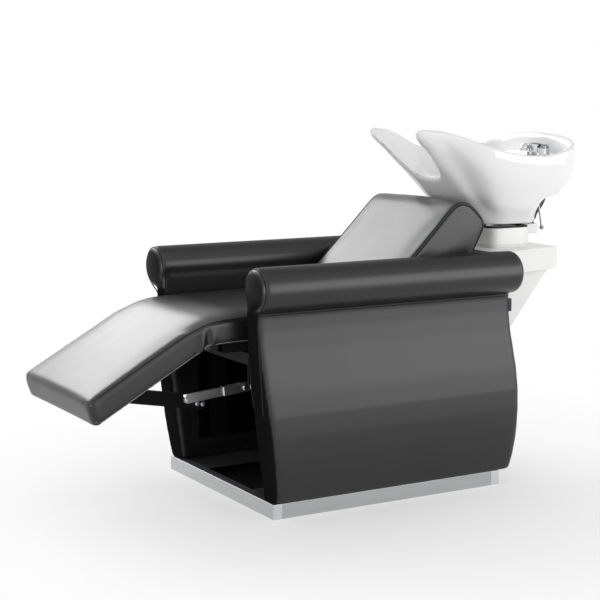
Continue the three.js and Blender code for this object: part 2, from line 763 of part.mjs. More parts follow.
place('link_pin_rear', turned('x', rearPin, [eyeY, driveAxisZ], 20), 'zinc');

// Linear drive: a rod with a flat eye that slides in a tube, with the motor and gears behind
const rodStart = eyeY + rodEyeLength;
const eyeBlank = rectangle(eyeY - linkHalf, rodStart + linkHalf,
  driveAxisZ - linkHalf, driveAxisZ + linkHalf);
const eyeLine = rounded(eyeBlank, [linkHalf, rodEyeRound, rodEyeRound, linkHalf]);
const eyePlate = sidePlate(eyeLine, -rodEye / 2, rodEye / 2,
  [circle(eyeY, driveAxisZ, linkPinRadius + seated, 16)]);
const rodBar = rod('y', rodRadius, rodStart, eyeY + rodLength, [0, driveAxisZ], 20);
place('actuator_rod', joined(eyePlate, rodBar), 'chrome');
const tubeRear = tubeFront + tubeLength;
const tubeBore = rodRadius + seated;
const driveTube = [[tubeBore, tubeFront], [driveTubeRadius - driveTubeEdge, tubeFront],
  [driveTubeRadius, tubeFront + driveTubeEdge], [driveTubeRadius, tubeRear], [0, tubeRear],
  [0, tubeFront + boreDepth], [tubeBore, tubeFront + boreDepth], [tubeBore, tubeFront]];
place('actuator_tube', turned('y', driveTube, [0, driveAxisZ], 24), 'blackSteel');
const motorFront = tubeRear + seated;
const motorRear = motorFront + motorLength;
const caseLine = rectangle(-motorHalf, motorHalf, driveAxisZ - motorHalf, driveAxisZ + motorHalf);
const gearCase = crossPlate(rounded(caseLine, motorRound), motorFront, motorRear);
const motorCan = rod('y', motorRadius, motorFront + motorLength * 0.1, motorRear - motorLength * 0.1,
  [motorHalf + motorRadius * 0.7, driveAxisZ - motorRadius * 0.2], 24);
const lugLine = rounded(rectangle(motorRear - overrun, crossRear + driveLugLength / 2,
  driveAxisZ - driveLugLength / 2, driveAxisZ + driveLugLength / 2), [0, driveLugRound, driveLugRound, 0]);
const lug = sidePlate(lugLine, -driveLug / 2, driveLug / 2,
  [circle(crossRear, driveAxisZ, drivePinRadius + seated, 20)]);
place('actuator_motor', joined(gearCase, motorCan, lug), 'plastic');

// Backrest: a wedge outline in Y and Z, swept across the width with a crown and rounded flanks
const backBase = seatTop + seated;
const backTop = [backFoot + backLength * Math.cos(backSlope), backBase + backLength * Math.sin(backSlope)];
const backRear = [backTop[0] + backTopDepth * Math.cos(backTopSlope),
  backTop[1] - backTopDepth * Math.sin(backTopSlope)];
const backHeel = [backRear[0] - (backRear[1] - backBase) / Math.tan(backRearSlope), backBase];
const backOutline = rounded([[backFoot, backBase], backTop, backRear, backHeel],
  [padRound, backTopRound, backRearRound, padRound], 6).reverse();
const backMiddle = new THREE.Vector2((backFoot + backRear[0]) / 2, (backBase + backTop[1]) / 2);
const backReach = backLength / 2;
const backShares = [[-1, 1.3], [-0.985, 0.55], [-0.94, 0.12], [-0.8, -0.05], [-0.4, -0.55], [0, -0.8],
  [0.4, -0.55], [0.8, -0.05], [0.94, 0.12], [0.985, 0.55], [1, 1.3]];
const backRings = backShares.map(([across, inset]) => backOutline.map((p) => {
  const [over, beyond] = [p.y - backHeel[1], p.x - backHeel[0]];
  const ahead = over * Math.cos(backRearSlope) - beyond * Math.sin(backRearSlope);
  const swell = inset > 0 ? 1 : THREE.MathUtils.clamp(ahead / backTopRound, 0, 1);
  const lift = THREE.MathUtils.clamp((p.y - backBase) / padRound, 0, 1);
  const scale = 1 - (inset * swell * backCrown * lift) / backReach;
  const y = backMiddle.x + (p.x - backMiddle.x) * scale;
  const z = backMiddle.y + (p.y - backMiddle.y) * scale;
  return new THREE.Vector3(backHalf * across, y, Math.max(backBase, z));
}));

// The board lies in a pocket in the back face. Both are drawn lying down and stood up against it
const backTurn = new THREE.Matrix4().makeRotationX(backRearSlope).setPosition(0, backHeel[0], backHeel[1]);
const boardFrom = backBoardThick * 2;
const boardTo = boardFrom + backBoardLength;
const backPocket = block(-backBoardHalf - seated, backBoardHalf + seated, boardFrom - seated,
  boardTo + seated, -overrun, backBoardThick + seated).applyMatrix4(backTurn);
place('backrest_cushion', cut(lofted(backRings), backPocket), 'vinyl');
place('backrest_board', block(-backBoardHalf, backBoardHalf, boardFrom, boardTo, 0, backBoardThick)
  .applyMatrix4(backTurn), 'wood');

// Two flat bars carry the board: each has a foot on the seat rail, stands up behind the seat pad and
// bends back along the board, where two screws hold it
const barFace = -seated - bracketThick / 2;
const onBack = (alongBar) => new THREE.Vector3(0, alongBar, barFace).applyMatrix4(backTurn);
const barEnd = onBack(boardTo - backBoardThick);
const barStart = onBack(boardFrom - backBoardThick);
const standY = seatRear + bracketSetback;
const footZ = seatBottom + bracketThick / 2;
const barLine = [[frameRear, footZ], [standY, footZ], [standY, seatTop - bracketSetback],
  [barStart.y, barStart.z], [barEnd.y, barEnd.z]].map((p) => new THREE.Vector2(...p));
const barOutline = ribbon(barLine, bracketThick);
const bracket = sidePlate(barOutline, railSpread - bracketWidth / 2, railSpread + bracketWidth / 2);
place('backrest_bracket_left', bracket, 'blackSteel');
place('backrest_bracket_right', mirrored(bracket), 'blackSteel');

// Console housing: a folded shell that stands on the plinth behind the chair and leans out backwards
const rearRailFront = baseRear - railWidth;
const stripRest = stripTop + seated;
const railRest = baseHeight + seated;
const trayUnder = trayTop - trayThick;
const shellTop = trayTop - trayWall - seated;
const consoleKnee = trayUnder - (consoleRear - consoleHeel) * Math.tan(consoleSlope);
const consoleLine = [[consoleFoot, stripRest], [rearRailFront - seated, stripRest],
  [rearRailFront - seated, railRest], [consoleHeel, railRest], [consoleHeel, consoleKnee],
  [consoleRear, trayUnder], [consoleRear, shellTop], [trayFront + consoleRound, shellTop],
  [trayFront + consoleRound, trayUnder], [consoleFront, consoleStep + consoleFront - consoleFoot],
  [consoleFront, consoleStep], [consoleFoot, consoleStep]].map((p) => new THREE.Vector2(...p));
const consoleSkin = sidePlate(consoleLine, -consoleHalf, consoleHalf);
const consoleHollow = sidePlate(offsetPath(consoleLine, consoleWall, true),
  consoleWall - consoleHalf, consoleHalf - consoleWall);
const slopeTurn = new THREE.Matrix4().makeRotationX(consoleSlope).setPosition(0, consoleHeel, consoleKnee);
const accessWindow = block(accessLip - accessHalf, accessHalf - accessLip, accessLow + accessLip,
  accessHigh - accessLip, -consoleWall, consoleWall * 3).applyMatrix4(slopeTurn);
const wasteRoom = wasteRadius + consoleWall;
const shellHole = rod('z', wasteRoom, shellTop - consoleWall * 3, shellTop + overrun, [0, drainY]);
place('console_housing', cut(consoleSkin, consoleHollow, accessWindow, shellHole), 'white');
const accessPlate = block(-accessHalf, accessHalf, accessLow, accessHigh, -seated - accessThick, -seated);
place('rear_access_panel', accessPlate.applyMatrix4(slopeTurn), 'white');

// Tray: a shallow box that widens towards the chair, open underneath where it drops over the console.
// A shallow recess in its top holds the foot of the column.
const trayLine = rounded([[-trayFrontHalf, trayFront], [trayFrontHalf, trayFront], [trayRearHalf, trayRear],
  [-trayRearHalf, trayRear]], trayRound);
const trayShell = flatPlate(trayLine, trayUnder, trayTop);
const trayPocket = flatPlate(offsetPath(trayLine, trayWall, true), trayUnder - overrun, trayTop - trayWall);
const trayHole = rod('z', wasteRoom, trayTop - trayWall * 2, trayTop + overrun, [0, drainY]);
function columnRing(inset) {
  return rounded(rectangle(inset - columnHalf, columnHalf - inset, columnFront + inset, columnRear - inset),
    columnRound - inset, 5);
}

const footSeat = flatPlate(columnRing(columnWall - seated), trayTop - trayRecess, trayTop + overrun);
place('console_tray', cut(trayShell, trayPocket, trayHole, footSeat), 'white');

// Column: a rounded box on a narrower foot, open underneath and closed on top by the tilt plate
const footLine = columnRing(columnWall);
const footRing = flatPlate(footLine, trayTop - trayRecess + seated, trayTop + columnFoot,
  [columnRing(columnWall * 2)]);
const columnBody = flatPlate(columnRing(0), trayTop + columnFoot, columnTop);
const columnPocket = flatPlate(columnRing(columnWall * 2), trayTop, columnTop - columnWall);
const columnHole = rod('z', wasteRoom, columnTop - columnWall * 2, columnTop + overrun, [0, drainY]);
place('column', cut(joined(columnBody, footRing), columnPocket, columnHole), 'white');
const gasketBottom = columnTop + seated;
place('basin_gasket', flatPlate(columnRing(gasketInset), gasketBottom, gasketBottom + gasketThick,
  [columnRing(gasketInset + gasketWidth)]), 'rubber');

// Tilt plate: it lies inside the gasket and has two ears that carry the tilt pin
const plateFront = columnFront + gasketInset + gasketWidth + seated;
const tiltPlateTop = gasketBottom + tiltPlateThick;

function ear(base, width) {
  const foot = Math.sign(tiltZ - base);
  const outline = [[tiltY - tiltEye, tiltZ], [tiltY - tiltEye, base], [tiltY + tiltEye * 2, base],
    [tiltY + tiltEye, tiltZ]].map((p) => new THREE.Vector2(...p));
  const blade = sidePlate(foot > 0 ? outline.reverse() : outline, -width / 2, width / 2);
  return joined(blade, rod('x', tiltEye, -width / 2, width / 2, [tiltY, tiltZ], 20));
}

const lowEar = ear(tiltPlateTop - tiltPlateThick / 2, tiltEarWidth);
const tiltBore = rod('x', tiltPinRadius + seated, -tiltEarX * 2, tiltEarX * 2, [tiltY, tiltZ], 16);
const tiltPlate = block(-tiltPlateHalf, tiltPlateHalf, plateFront, tiltPlateRear,
  gasketBottom, tiltPlateTop);
const plateHole = rod('z', wasteRoom, gasketBottom - overrun, tiltPlateTop + overrun, [0, drainY]);
const lowEars = [-tiltEarX, tiltEarX].map((x) => lowEar.clone().translate(x, 0, 0));
place('tilt_plate', cut(joined(tiltPlate, ...lowEars), plateHole, tiltBore), 'zinc');
const pinReach = tiltEarX + tiltEarWidth * 1.5 + running;
place('tilt_pin', rod('x', tiltPinRadius, -pinReach, pinReach, [tiltY, tiltZ], 16), 'zinc');

const potUnder = bowlZ - bowlSink - potWall;
const carrierZ = potUnder - seated - carrierThick;

// Carrier: the plate under the basin, with ears that turn on the tilt pin outside the other two
const highEar = ear(carrierZ + carrierThick / 2, tiltEarWidth);
const earOffset = tiltEarX + tiltEarWidth + running;
const carrierFront = tiltY - tiltEye;
const carrierTop = carrierZ + carrierThick;
const carrierPlate = block(-carrierHalf, carrierHalf, carrierFront, carrierRear, carrierZ, carrierTop);
const strainerRoom = strainerRadius + consoleWall;
const carrierHole = rod('z', strainerRoom, carrierZ - overrun, carrierTop + overrun, [0, drainY]);
const highEars = [-earOffset, earOffset].map((x) => highEar.clone().translate(x, 0, 0));
place('basin_carrier', cut(joined(carrierPlate, ...highEars), carrierHole, tiltBore), 'zinc');

// Wash basin. Its rim is one closed curve: along the neck notch, up the inside of a horn, round the
// tip, back along the side and across the rear. Rows: width, length and height as shares, and the
// share of a half turn at which the skirt and the bowl floor lie under that point of the rim
const rimShares = [
  [0, 0.25, 0, 0], [0.164, 0.246, 0.02, 0.07], [0.3, 0.22, 0.12, 0.13], [0.376, 0.172, 0.32, 0.17],
  [0.416, 0.114, 0.56, 0.2], [0.442, 0.056, 0.8, 0.225], [0.484, 0.008, 0.96, 0.245],
  [0.54, 0.004, 1, 0.262], [0.596, 0.045, 1.005, 0.285], [0.667, 0.138, 0.969, 0.325],
  [0.8, 0.27, 0.81, 0.4], [0.925, 0.395, 0.622, 0.48], [0.985, 0.55, 0.5, 0.57], [1, 0.717, 0.449, 0.67],
  [0.985, 0.85, 0.54, 0.77], [0.915, 0.945, 0.66, 0.84], [0.7, 0.998, 0.78, 0.9], [0.36, 1, 0.87, 0.95],
  [0, 0.986, 0.9, 1],
];
const rimSteps = 2;

// Closes a curve that is given for the left half and samples it evenly between its rows
function wholeLoop(half) {
  const other = half.slice(1, -1).map((p) => new THREE.Vector3(-p.x, p.y, p.z)).reverse();
  const curve = new THREE.CatmullRomCurve3([...half, ...other], true, 'centripetal');
  return curve.getPoints(rimSteps * curve.points.length).slice(0, -1);
}

function roundLoop(halfWidth, front, rear, z, squareness) {
  const bow = (value) => Math.sign(value) * Math.abs(value) ** squareness;
  return wholeLoop(rimShares.map(([, , , turn]) => new THREE.Vector3(
    halfWidth * bow(Math.sin(Math.PI * turn)),
    (front + rear) / 2 - ((rear - front) / 2) * bow(Math.cos(Math.PI * turn)), z)));
}

const rimLoop = wholeLoop(rimShares.map(([x, y, z]) => new THREE.Vector3(
  basinHalf * x, basinTip + basinLength * y, THREE.MathUtils.lerp(notchZ, hornZ, z))));
const turnLoop = wholeLoop(rimShares.map(([, , , turn]) => new THREE.Vector3(0, 0, turn))).map((p) => p.z);
const skirtLoop = roundLoop(skirtHalf, skirtFront, skirtRear, skirtZ, 0.62);
const bowlLoop = roundLoop(bowlHalf, bowlFront, bowlRear, bowlZ, 0.9);
const floorLoop = roundLoop(drainRadius * 2, drainY - drainRadius * 2, drainY + drainRadius * 1.3,
  bowlZ - bowlSink * 0.8, 1);

function inward(loop, distance, drop) {
  const plan = offsetPath(loop.map((p) => new THREE.Vector2(p.x, p.y)), distance, true);
  return plan.map((p, i) => new THREE.Vector3(p.x, p.y, loop[i].z - drop));
}

// Blends two loops. Rows of shares give how far along the plan and the height a point lies, for the
// front with its notch and horns, for the sides, and for the rear with its deck and apron
function between(from, to, [front, side, rear]) {
  const span = THREE.MathUtils.smoothstep;
  return from.map((start, i) => {
    const ahead = 1 - span(turnLoop[i], 0.3, 0.45);
    const behind = span(turnLoop[i], 0.66, 0.84);
    const mix = (k) => side[k] + (front[k] - side[k]) * ahead + (rear[k] - side[k]) * behind;
    const end = to[i];
    return new THREE.Vector3(THREE.MathUtils.lerp(start.x, end.x, mix(0)),
      THREE.MathUtils.lerp(start.y, end.y, mix(0)), THREE.MathUtils.lerp(start.z, end.z, mix(1)));
  });
}

const innerRim = inward(rimLoop, lipWidth, lipDrop);
const outerRim = inward(rimLoop, 0, lipDrop);
const bowlShares = [
  [[0.03, 0.08], [0.03, 0.08], [0.03, 0.06]], [[0.12, 0.25], [0.1, 0.27], [0.05, 0.33]],
  [[0.26, 0.46], [0.22, 0.5], [0.6, 0.35]], [[0.46, 0.68], [0.42, 0.73], [0.76, 0.54]],
  [[0.72, 0.88], [0.7, 0.91], [0.92, 0.84]],
];
const outsideShares = [
  [[0.03, 0.06], [0.01, 0.05], [0, 0.05]], [[0.17, 0.19], [0.05, 0.24], [0.03, 0.28]],
  [[0.36, 0.36], [0.17, 0.41], [0.17, 0.47]], [[0.52, 0.52], [0.36, 0.59], [0.34, 0.62]],
  [[0.57, 0.57], [0.42, 0.64], [0.52, 0.62]], [[0.64, 0.64], [0.5, 0.71], [0.33, 0.37]],
  [[0.7, 0.7], [0.58, 0.77], [0.8, 0.34]], [[0.8, 0.8], [0.74, 0.85], [0.97, 0.44]],
  [[0.9, 0.9], [0.9, 0.93], [0.99, 0.75]],
];
const skirtInside = inward(skirtLoop, skirtWall, 0);
const cavityTop = bowlLoop.map((p, i) => skirtInside[i].clone().lerp(p, 0.4).setZ(potUnder));
const basinRings = [
  roundLoop(drainRadius, drainY - drainRadius, drainY + drainRadius, bowlZ - bowlSink, 1),
  floorLoop,
  bowlLoop,
  ...bowlShares.map((row) => between(innerRim, bowlLoop, row)).reverse(),
  innerRim,
  inward(rimLoop, lipWidth / 2, -lipCrown),
  outerRim,
  ...outsideShares.map((row) => between(outerRim, skirtLoop, row)),
  skirtLoop,
  skirtInside,
  cavityTop.map((p, i) => skirtInside[i].clone().setZ(THREE.MathUtils.lerp(skirtZ, p.z, 0.6))),
  cavityTop,
  roundLoop(drainRadius, drainY - drainRadius, drainY + drainRadius, potUnder, 1),
];
const basinBlank = lofted(basinRings, true);

// The deck is ground flat where the mixer and the handset dock stand, with a hole for each tail
const seat = (x, y, radius) => rod('z', radius + seated, deckZ, deckZ + mixerHeight, [x, y], 28);
const tail = (x, y, radius) => rod('z', radius + seated, deckZ - mixerTail, deckZ + overrun, [x, y], 20);
const studAt = [tiltLeverY, tiltLeverTop];
const studFrom = tiltLeverX + tiltLeverWidth - tiltStudLength;
const studRoom = tiltLeverX + tiltLeverWidth * 2;
const studBore = rod('x', tiltStudRadius + seated, studFrom - seated, studRoom, studAt, 16);
const eyeRoom = rod('x', tiltLeverEye + lipCrown, tiltLeverX - tiltLeverWidth / 2 - running, studRoom,
  studAt, 20);

// The bush sits on a flat in the far rear rim, half way across the lip
const bushShare = 0.4028;
const bushRow = Math.round(rimLoop.length * bushShare);
const bushAt = rimLoop[bushRow].clone().lerp(innerRim[bushRow], 0.5);
bushAt.x = -bushAt.x;
const bushFlat = rod('z', bushRadius + seated, bushAt.z, bushAt.z + mixerHeight, [bushAt.x, bushAt.y], 24);
const basin = cut(basinBlank, seat(mixerX, mixerY, mixerFlange), tail(mixerX, mixerY, mixerTailRadius),
  seat(handsetX, handsetY, dockFlange), tail(handsetX, handsetY, handsetStem + lipCrown),
  studBore, eyeRoom, bushFlat);
place('basin', basin, 'ceramic');

// Waste: a strainer in the drain, a flexible hose through the column, and a trap in the console
const strainerZ = bowlZ - bowlSink;
const strainerDeep = potWall + strainerThick;
const throat = drainRadius - seated;
const strainerTail = potWall * 3;
const wasteBore = wasteRadius - wasteWall;
const strainerProfile = [[0, strainerZ], [throat, strainerZ], [throat, strainerZ - strainerDeep],
  [wasteRadius, strainerZ - strainerDeep - strainerThick], [wasteRadius, strainerZ - strainerTail],
  [wasteBore, strainerZ - strainerTail], [wasteBore, strainerZ - strainerThick * 3],
  [0, strainerZ - strainerThick]];
place('drain_strainer', turned('z', strainerProfile, [0, drainY]), 'chrome');
const wasteTop = strainerZ - strainerTail - seated;
const wasteLow = trapZ + trapHeight + wasteRadius;

function pipe(radius, wall, low, high, x, y) {
  const bore = radius - wall;
  return turned('z', [[bore, low], [radius, low], [radius, high], [bore, high], [bore, low]], [x, y], 24);
}

place('waste_hose', pipe(wasteRadius, wasteWall, wasteLow + seated, wasteTop, 0, drainY), 'plastic');
const trapHigh = trapZ + trapHeight;
const trapEdge = trapRadius * 0.3;
const trapProfile = [[0, trapZ], [trapRadius * 0.8, trapZ], [trapRadius, trapZ + trapEdge],
  [trapRadius, trapHigh - trapEdge], [trapRadius * 0.8, trapHigh], [0, trapHigh]];
const trapCup = turned('z', trapProfile, [0, drainY]);
const trapNeck = rod('z', wasteRadius, trapZ + trapHeight * 0.9, wasteLow, [0, drainY]);
const trapArm = rod('y', outletRadius, outletY, drainY, [0, outletZ]);
const trapDrop = rod('z', outletRadius, outletLow, outletZ, [0, outletY]);
const trapElbow = new THREE.SphereGeometry(outletRadius * 1.15, 20, 12).translate(0, outletY, outletZ);
const trapLine = offsetPath(consoleLine, consoleWall + seated, true);
const trapRoom = sidePlate(trapLine, -trapRadius * 2, trapRadius * 2);
place('bottle_trap', common(joined(trapCup, trapNeck, trapArm, trapDrop, trapElbow), trapRoom), 'white');

// Water: a single lever mixer, a handset standing in its dock, and two hoses to the connection block
const deck = deckZ + seated;
const mixerTop = deck + mixerHeight;
const bodyProfile = [[0, deck - mixerTail], [mixerTailRadius, deck - mixerTail], [mixerTailRadius, deck],
  [mixerFlange, deck], [mixerFlange, deck + lipCrown], [mixerRadius, deck + lipCrown * 1.6],
  [mixerRadius * 0.94, mixerTop], [0, mixerTop]];
place('mixer_body', turned('z', bodyProfile, [mixerX, mixerY]), 'chrome');
const capLow = mixerTop + running;
const capShares = [[0, 0], [0.94, 0], [0.9, 0.5], [0.62, 0.88], [0, 1]];
const capProfile = capShares.map(([out, up]) => [mixerRadius * out, capLow + capHeight * up]);
const capSlot = block(mixerX - leverBar - running, mixerX + leverBar + running, mixerY - mixerRadius * 2,
  mixerY + mixerRadius * 0.5, capLow + capHeight * 0.28, capLow + capHeight * 2);
place('mixer_cap', cut(turned('z', capProfile, [mixerX, mixerY]), capSlot), 'chrome');
const leverRoot = new THREE.Vector2(mixerY + mixerRadius * 0.2, capLow + capHeight * 0.62);
const bladeShares = [[0, 0], [-0.3, 0.45], [-0.62, 0.82], [-1, 1]];
const bladeLine = bladeShares.map(([y, z]) => new THREE.Vector2(
  leverRoot.x + leverReach * y, leverRoot.y + leverRise * z));
const leverBlade = sidePlate(ribbon(bladeLine, leverBar), mixerX - leverBar, mixerX + leverBar);
place('mixer_lever', leverBlade, 'chrome');
const dockTop = deck + dockHeight;
const dockBore = handsetStem + running;
const dockRing = [[dockBore, deck - dockTail], [handsetStem + lipCrown, deck - dockTail],
  [handsetStem + lipCrown, deck], [dockFlange, deck], [dockFlange * 0.8, dockTop], [dockBore, dockTop],
  [dockBore, deck - dockTail]];
place('handset_dock', turned('z', dockRing, [handsetX, handsetY]), 'chrome');

// The handset is a bent grip that ends in a spray head over the bowl, with a stem through the dock
const headZ = dockTop + handsetLift;
const headY = handsetY - handsetRadius * 2.3;
const gripLine = [[handsetY, dockTop + running], [handsetY, dockTop + handsetLift * 0.45],
  [handsetY - handsetRadius * 0.6, headZ - seated], [headY, headZ + running],
].map(([y, z]) => [handsetX, y, z]);
const grip = bent(gripLine, handsetStem, 10, 12);
const headShares = [[0, -1.25], [0.9, -1.25], [1, -1], [0.9, 0], [0.5, 0.68], [0, 0.75]];
const headProfile = headShares.map(([out, up]) => [handsetRadius * out, headZ + handsetRadius * up]);
const sprayHead = turned('z', headProfile, [handsetX, headY], 20);
const stem = rod('z', handsetStem, deck - dockTail * 0.6, dockTop + running * 2, [handsetX, handsetY], 20);
place('spray_handset', joined(grip, sprayHead, stem), 'chrome');
const blockTop = columnTop + gasketThick;
const blockRear = columnRear + blockDepth;
const blockLine = rounded(rectangle(-blockHalf, blockHalf, columnRear + seated, blockRear),
  [0, 0, trayRound, trayRound]);
place('connection_block', flatPlate(blockLine, blockTop - blockHeight, blockTop), 'rubber');
const hoseY = blockRear - hoseRadius * 1.2;
const hoseX = blockHalf - hoseRadius * 4;
const hoseTop = deck - mixerTail - seated;
const hoseRun = (x) => [[mixerX + x, mixerY, hoseTop], [mixerX + x, mixerY, hoseTop - hoseRadius * 2],
  [mixerX + x, mixerY, (hoseTop + blockTop) / 2], [hoseX + x, hoseY, blockTop + blockHeight * 0.7],
  [hoseX + x, hoseY, blockTop + seated]];
[['hot', -hoseSpread], ['cold', hoseSpread]].forEach(([name, x]) => {
  place(`supply_hose_${name}`, bent(hoseRun(x), hoseRadius, 12, 10), 'braid');
});

// Rim bush, and the lever that releases the tilt, hanging under the rear apron
const bushProfile = [[0, 0], [bushRadius, 0], [bushRadius, bushThick * 0.6], [bushRadius * 0.7, bushThick],
  [0, bushThick]];
const bush = turned('z', bushProfile, [bushAt.x, bushAt.y], 20);
place('rim_bush', bush.translate(0, 0, bushAt.z + seated), 'chrome');
const stud = rod('x', tiltStudRadius, studFrom, tiltLeverX + tiltLeverWidth, studAt, 16);
place('tilt_lever_stud', stud, 'chrome');
const halfStrap = tiltLeverWidth / 2;
const strapLine = rectangle(-halfStrap, halfStrap, -tiltLeverLength, -tiltLeverEye / 2);
const strapDeep = tiltLeverThick / 2;
const tiltStrap = crossPlate(rounded(strapLine, strapDeep), -strapDeep, strapDeep);
const tiltEyeRing = rod('x', tiltLeverEye, -halfStrap, halfStrap, [0, 0], 20);
const tiltEyeBore = rod('x', tiltStudRadius + seated, -tiltLeverWidth, tiltLeverWidth, [0, 0], 16);
const tiltKnob = new THREE.SphereGeometry(tiltKnobRadius, 16, 10).translate(0, 0, -tiltLeverLength);
const leverPose = new THREE.Matrix4().makeRotationX(tiltLeverLean);
leverPose.setPosition(tiltLeverX, tiltLeverY, tiltLeverTop);
const tiltLever = cut(joined(tiltStrap, tiltEyeRing, tiltKnob), tiltEyeBore);
place('tilt_lever', tiltLever.applyMatrix4(leverPose), 'chrome');

// The origin is the middle of the footprint, on the floor
const extent = new THREE.Box3().setFromObject(unit);
unit.position.y = -(extent.min.y + extent.max.y) / 2;

export default unit;
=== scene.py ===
import json
from contextlib import contextmanager
from math import cos, exp, pi, radians, sin

import bmesh
import bpy
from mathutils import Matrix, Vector
from mathutils.bvhtree import BVHTree

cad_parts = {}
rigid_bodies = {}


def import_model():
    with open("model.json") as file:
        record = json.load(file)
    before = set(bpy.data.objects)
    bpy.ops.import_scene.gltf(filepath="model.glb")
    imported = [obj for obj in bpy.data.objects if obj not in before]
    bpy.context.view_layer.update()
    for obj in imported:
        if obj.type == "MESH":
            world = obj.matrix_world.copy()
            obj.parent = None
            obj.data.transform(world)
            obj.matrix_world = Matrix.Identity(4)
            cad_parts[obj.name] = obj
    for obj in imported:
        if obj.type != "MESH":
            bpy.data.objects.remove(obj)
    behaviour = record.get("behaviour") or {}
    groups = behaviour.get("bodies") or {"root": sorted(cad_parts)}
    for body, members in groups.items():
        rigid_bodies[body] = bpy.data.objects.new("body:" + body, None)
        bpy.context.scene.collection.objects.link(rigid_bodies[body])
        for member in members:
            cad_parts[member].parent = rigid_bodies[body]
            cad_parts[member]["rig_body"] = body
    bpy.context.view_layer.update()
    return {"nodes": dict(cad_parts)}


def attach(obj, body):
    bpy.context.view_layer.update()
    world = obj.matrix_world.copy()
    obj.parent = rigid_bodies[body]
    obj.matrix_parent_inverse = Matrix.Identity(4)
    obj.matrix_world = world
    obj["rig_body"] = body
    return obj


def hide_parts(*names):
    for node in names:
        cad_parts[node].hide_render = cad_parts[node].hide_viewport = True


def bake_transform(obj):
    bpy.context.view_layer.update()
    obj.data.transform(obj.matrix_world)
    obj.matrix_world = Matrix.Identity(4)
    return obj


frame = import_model()


# Camera. It stands well above the arms, ahead of the unit and on the sitter's left, and looks a
# little down along a long lens, so that the near side panel, the leg rest and the basin all show.
def placed(name, data):
    """A new object in the scene"""
    made = bpy.data.objects.new(name, data)
    bpy.context.scene.collection.objects.link(made)
    return made


view_from = Vector((3.3989, -2.0061, 1.0400))
view_azimuth = radians(59.96)
view_pitch = radians(8.01)
camera = bpy.data.cameras.new("camera")
camera.lens = 90.65
camera.sensor_width = 36.0
camera.clip_end = 60
camera_object = placed("camera", camera)
camera_object.location = view_from
camera_object.rotation_euler = (pi / 2 - view_pitch, 0, view_azimuth)
bpy.context.scene.camera = camera_object

# Studio. White paper runs under the unit and out of sight. A large soft box stands high on the far
# side, so the tops of the pads shine, and another behind on the near side lights the near panel.
# Three dimmer ones fill from above, from the near side and from the front.
bpy.context.scene.view_settings.view_transform = "Standard"


class Signal:
    """A number that changes over a surface. Sums and products of signals add Math nodes."""

    def __init__(self, finish, socket):
        self.finish = finish
        self.socket = socket

    def maths(self, operation, *terms):
        return self.finish.add("ShaderNodeMath", {"operation": operation}, dict(enumerate(terms)))

    def __add__(self, other):
        return self.maths("ADD", self, other)

    def __sub__(self, other):
        return self.maths("SUBTRACT", self, other)

    def __rsub__(self, other):
        return self.maths("SUBTRACT", other, self)

    def __mul__(self, other):
        return self.maths("MULTIPLY", self, other)

    __radd__ = __add__
    __rmul__ = __mul__

    def clipped(self):
        return self.finish.add("ShaderNodeClamp", {}, {"Value": self})


class Finish:
    """A material, with one method that adds any node and one that reads the piece's own space."""

    def __init__(self, name, tree=None):
        if tree is None:
            self.material = bpy.data.materials.new(name)
            self.material.use_nodes = True
            tree = self.material.node_tree
        self.nodes = tree.nodes
        self.links = tree.links
        self.shader = self.nodes.get("Principled BSDF")

    def add(self, kind, settings=None, sockets=None, out=0):
        node = self.nodes.new(kind)
        for key, value in (settings or {}).items():
            if key == "stops":
                ramp = node.color_ramp
                while len(ramp.elements) < len(value):
                    ramp.elements.new(0.5)
                for element, (place, colour) in zip(ramp.elements, value):
                    element.position = place
                    element.color = (*colour, 1)
            else:
                setattr(node, key, value)
        for key, value in (sockets or {}).items():
            self.feed(node.inputs[key], value)
        return Signal(self, node.outputs[out])

    def feed(self, socket, value):
        if isinstance(value, Signal):
            self.links.new(value.socket, socket)
        else:
            socket.default_value = value

    def place(self, stretch=(1, 1, 1)):
        here = self.add("ShaderNodeTexCoord", out="Object")
        return self.add("ShaderNodeMapping", {}, {"Vector": here, "Scale": stretch})

    def noise(self, scale, detail=4.0, stretch=(1, 1, 1)):
        return self.add("ShaderNodeTexNoise", {},
                        {"Vector": self.place(stretch), "Scale": scale, "Detail": detail})

    def between(self, share, first, second):
        return self.add("ShaderNodeMix", {"data_type": "RGBA"},
                        {0: share, 6: (*first, 1), 7: (*second, 1)}, out=2)

    def bump(self, height, distance, strength=1.0):
        return self.add("ShaderNodeBump", {}, {"Height": height, "Distance": distance, "Strength": strength})

    def surface(self, **sockets):
        for name, value in sockets.items():
            self.feed(self.shader.inputs[name.replace("_", " ")], value)
        return self.material


def seen(finish):
    """1 for the rays that show the surface or mirror it, 0 for those that it only lights"""
    ray = finish.nodes.new("ShaderNodeLightPath").outputs
    return (Signal(finish, ray["Is Camera Ray"]) + Signal(finish, ray["Is Glossy Ray"])
            + Signal(finish, ray["Is Transmission Ray"])).clipped()


world = bpy.data.worlds.new("studio")
world.use_nodes = True
bpy.context.scene.world = world
sky = Finish("studio", world.node_tree)
sky.feed(sky.nodes["Background"].inputs["Color"], (1, 1, 1, 1))
sky.feed(sky.nodes["Background"].inputs["Strength"], 0.42 + seen(sky) * 0.58)


@contextmanager
def opened(mesh):
    """The mesh in a form that can be edited, written back at the end"""
    bm = bmesh.new()
    bm.from_mesh(mesh)
    yield bm
    bm.to_mesh(mesh)
    bm.free()


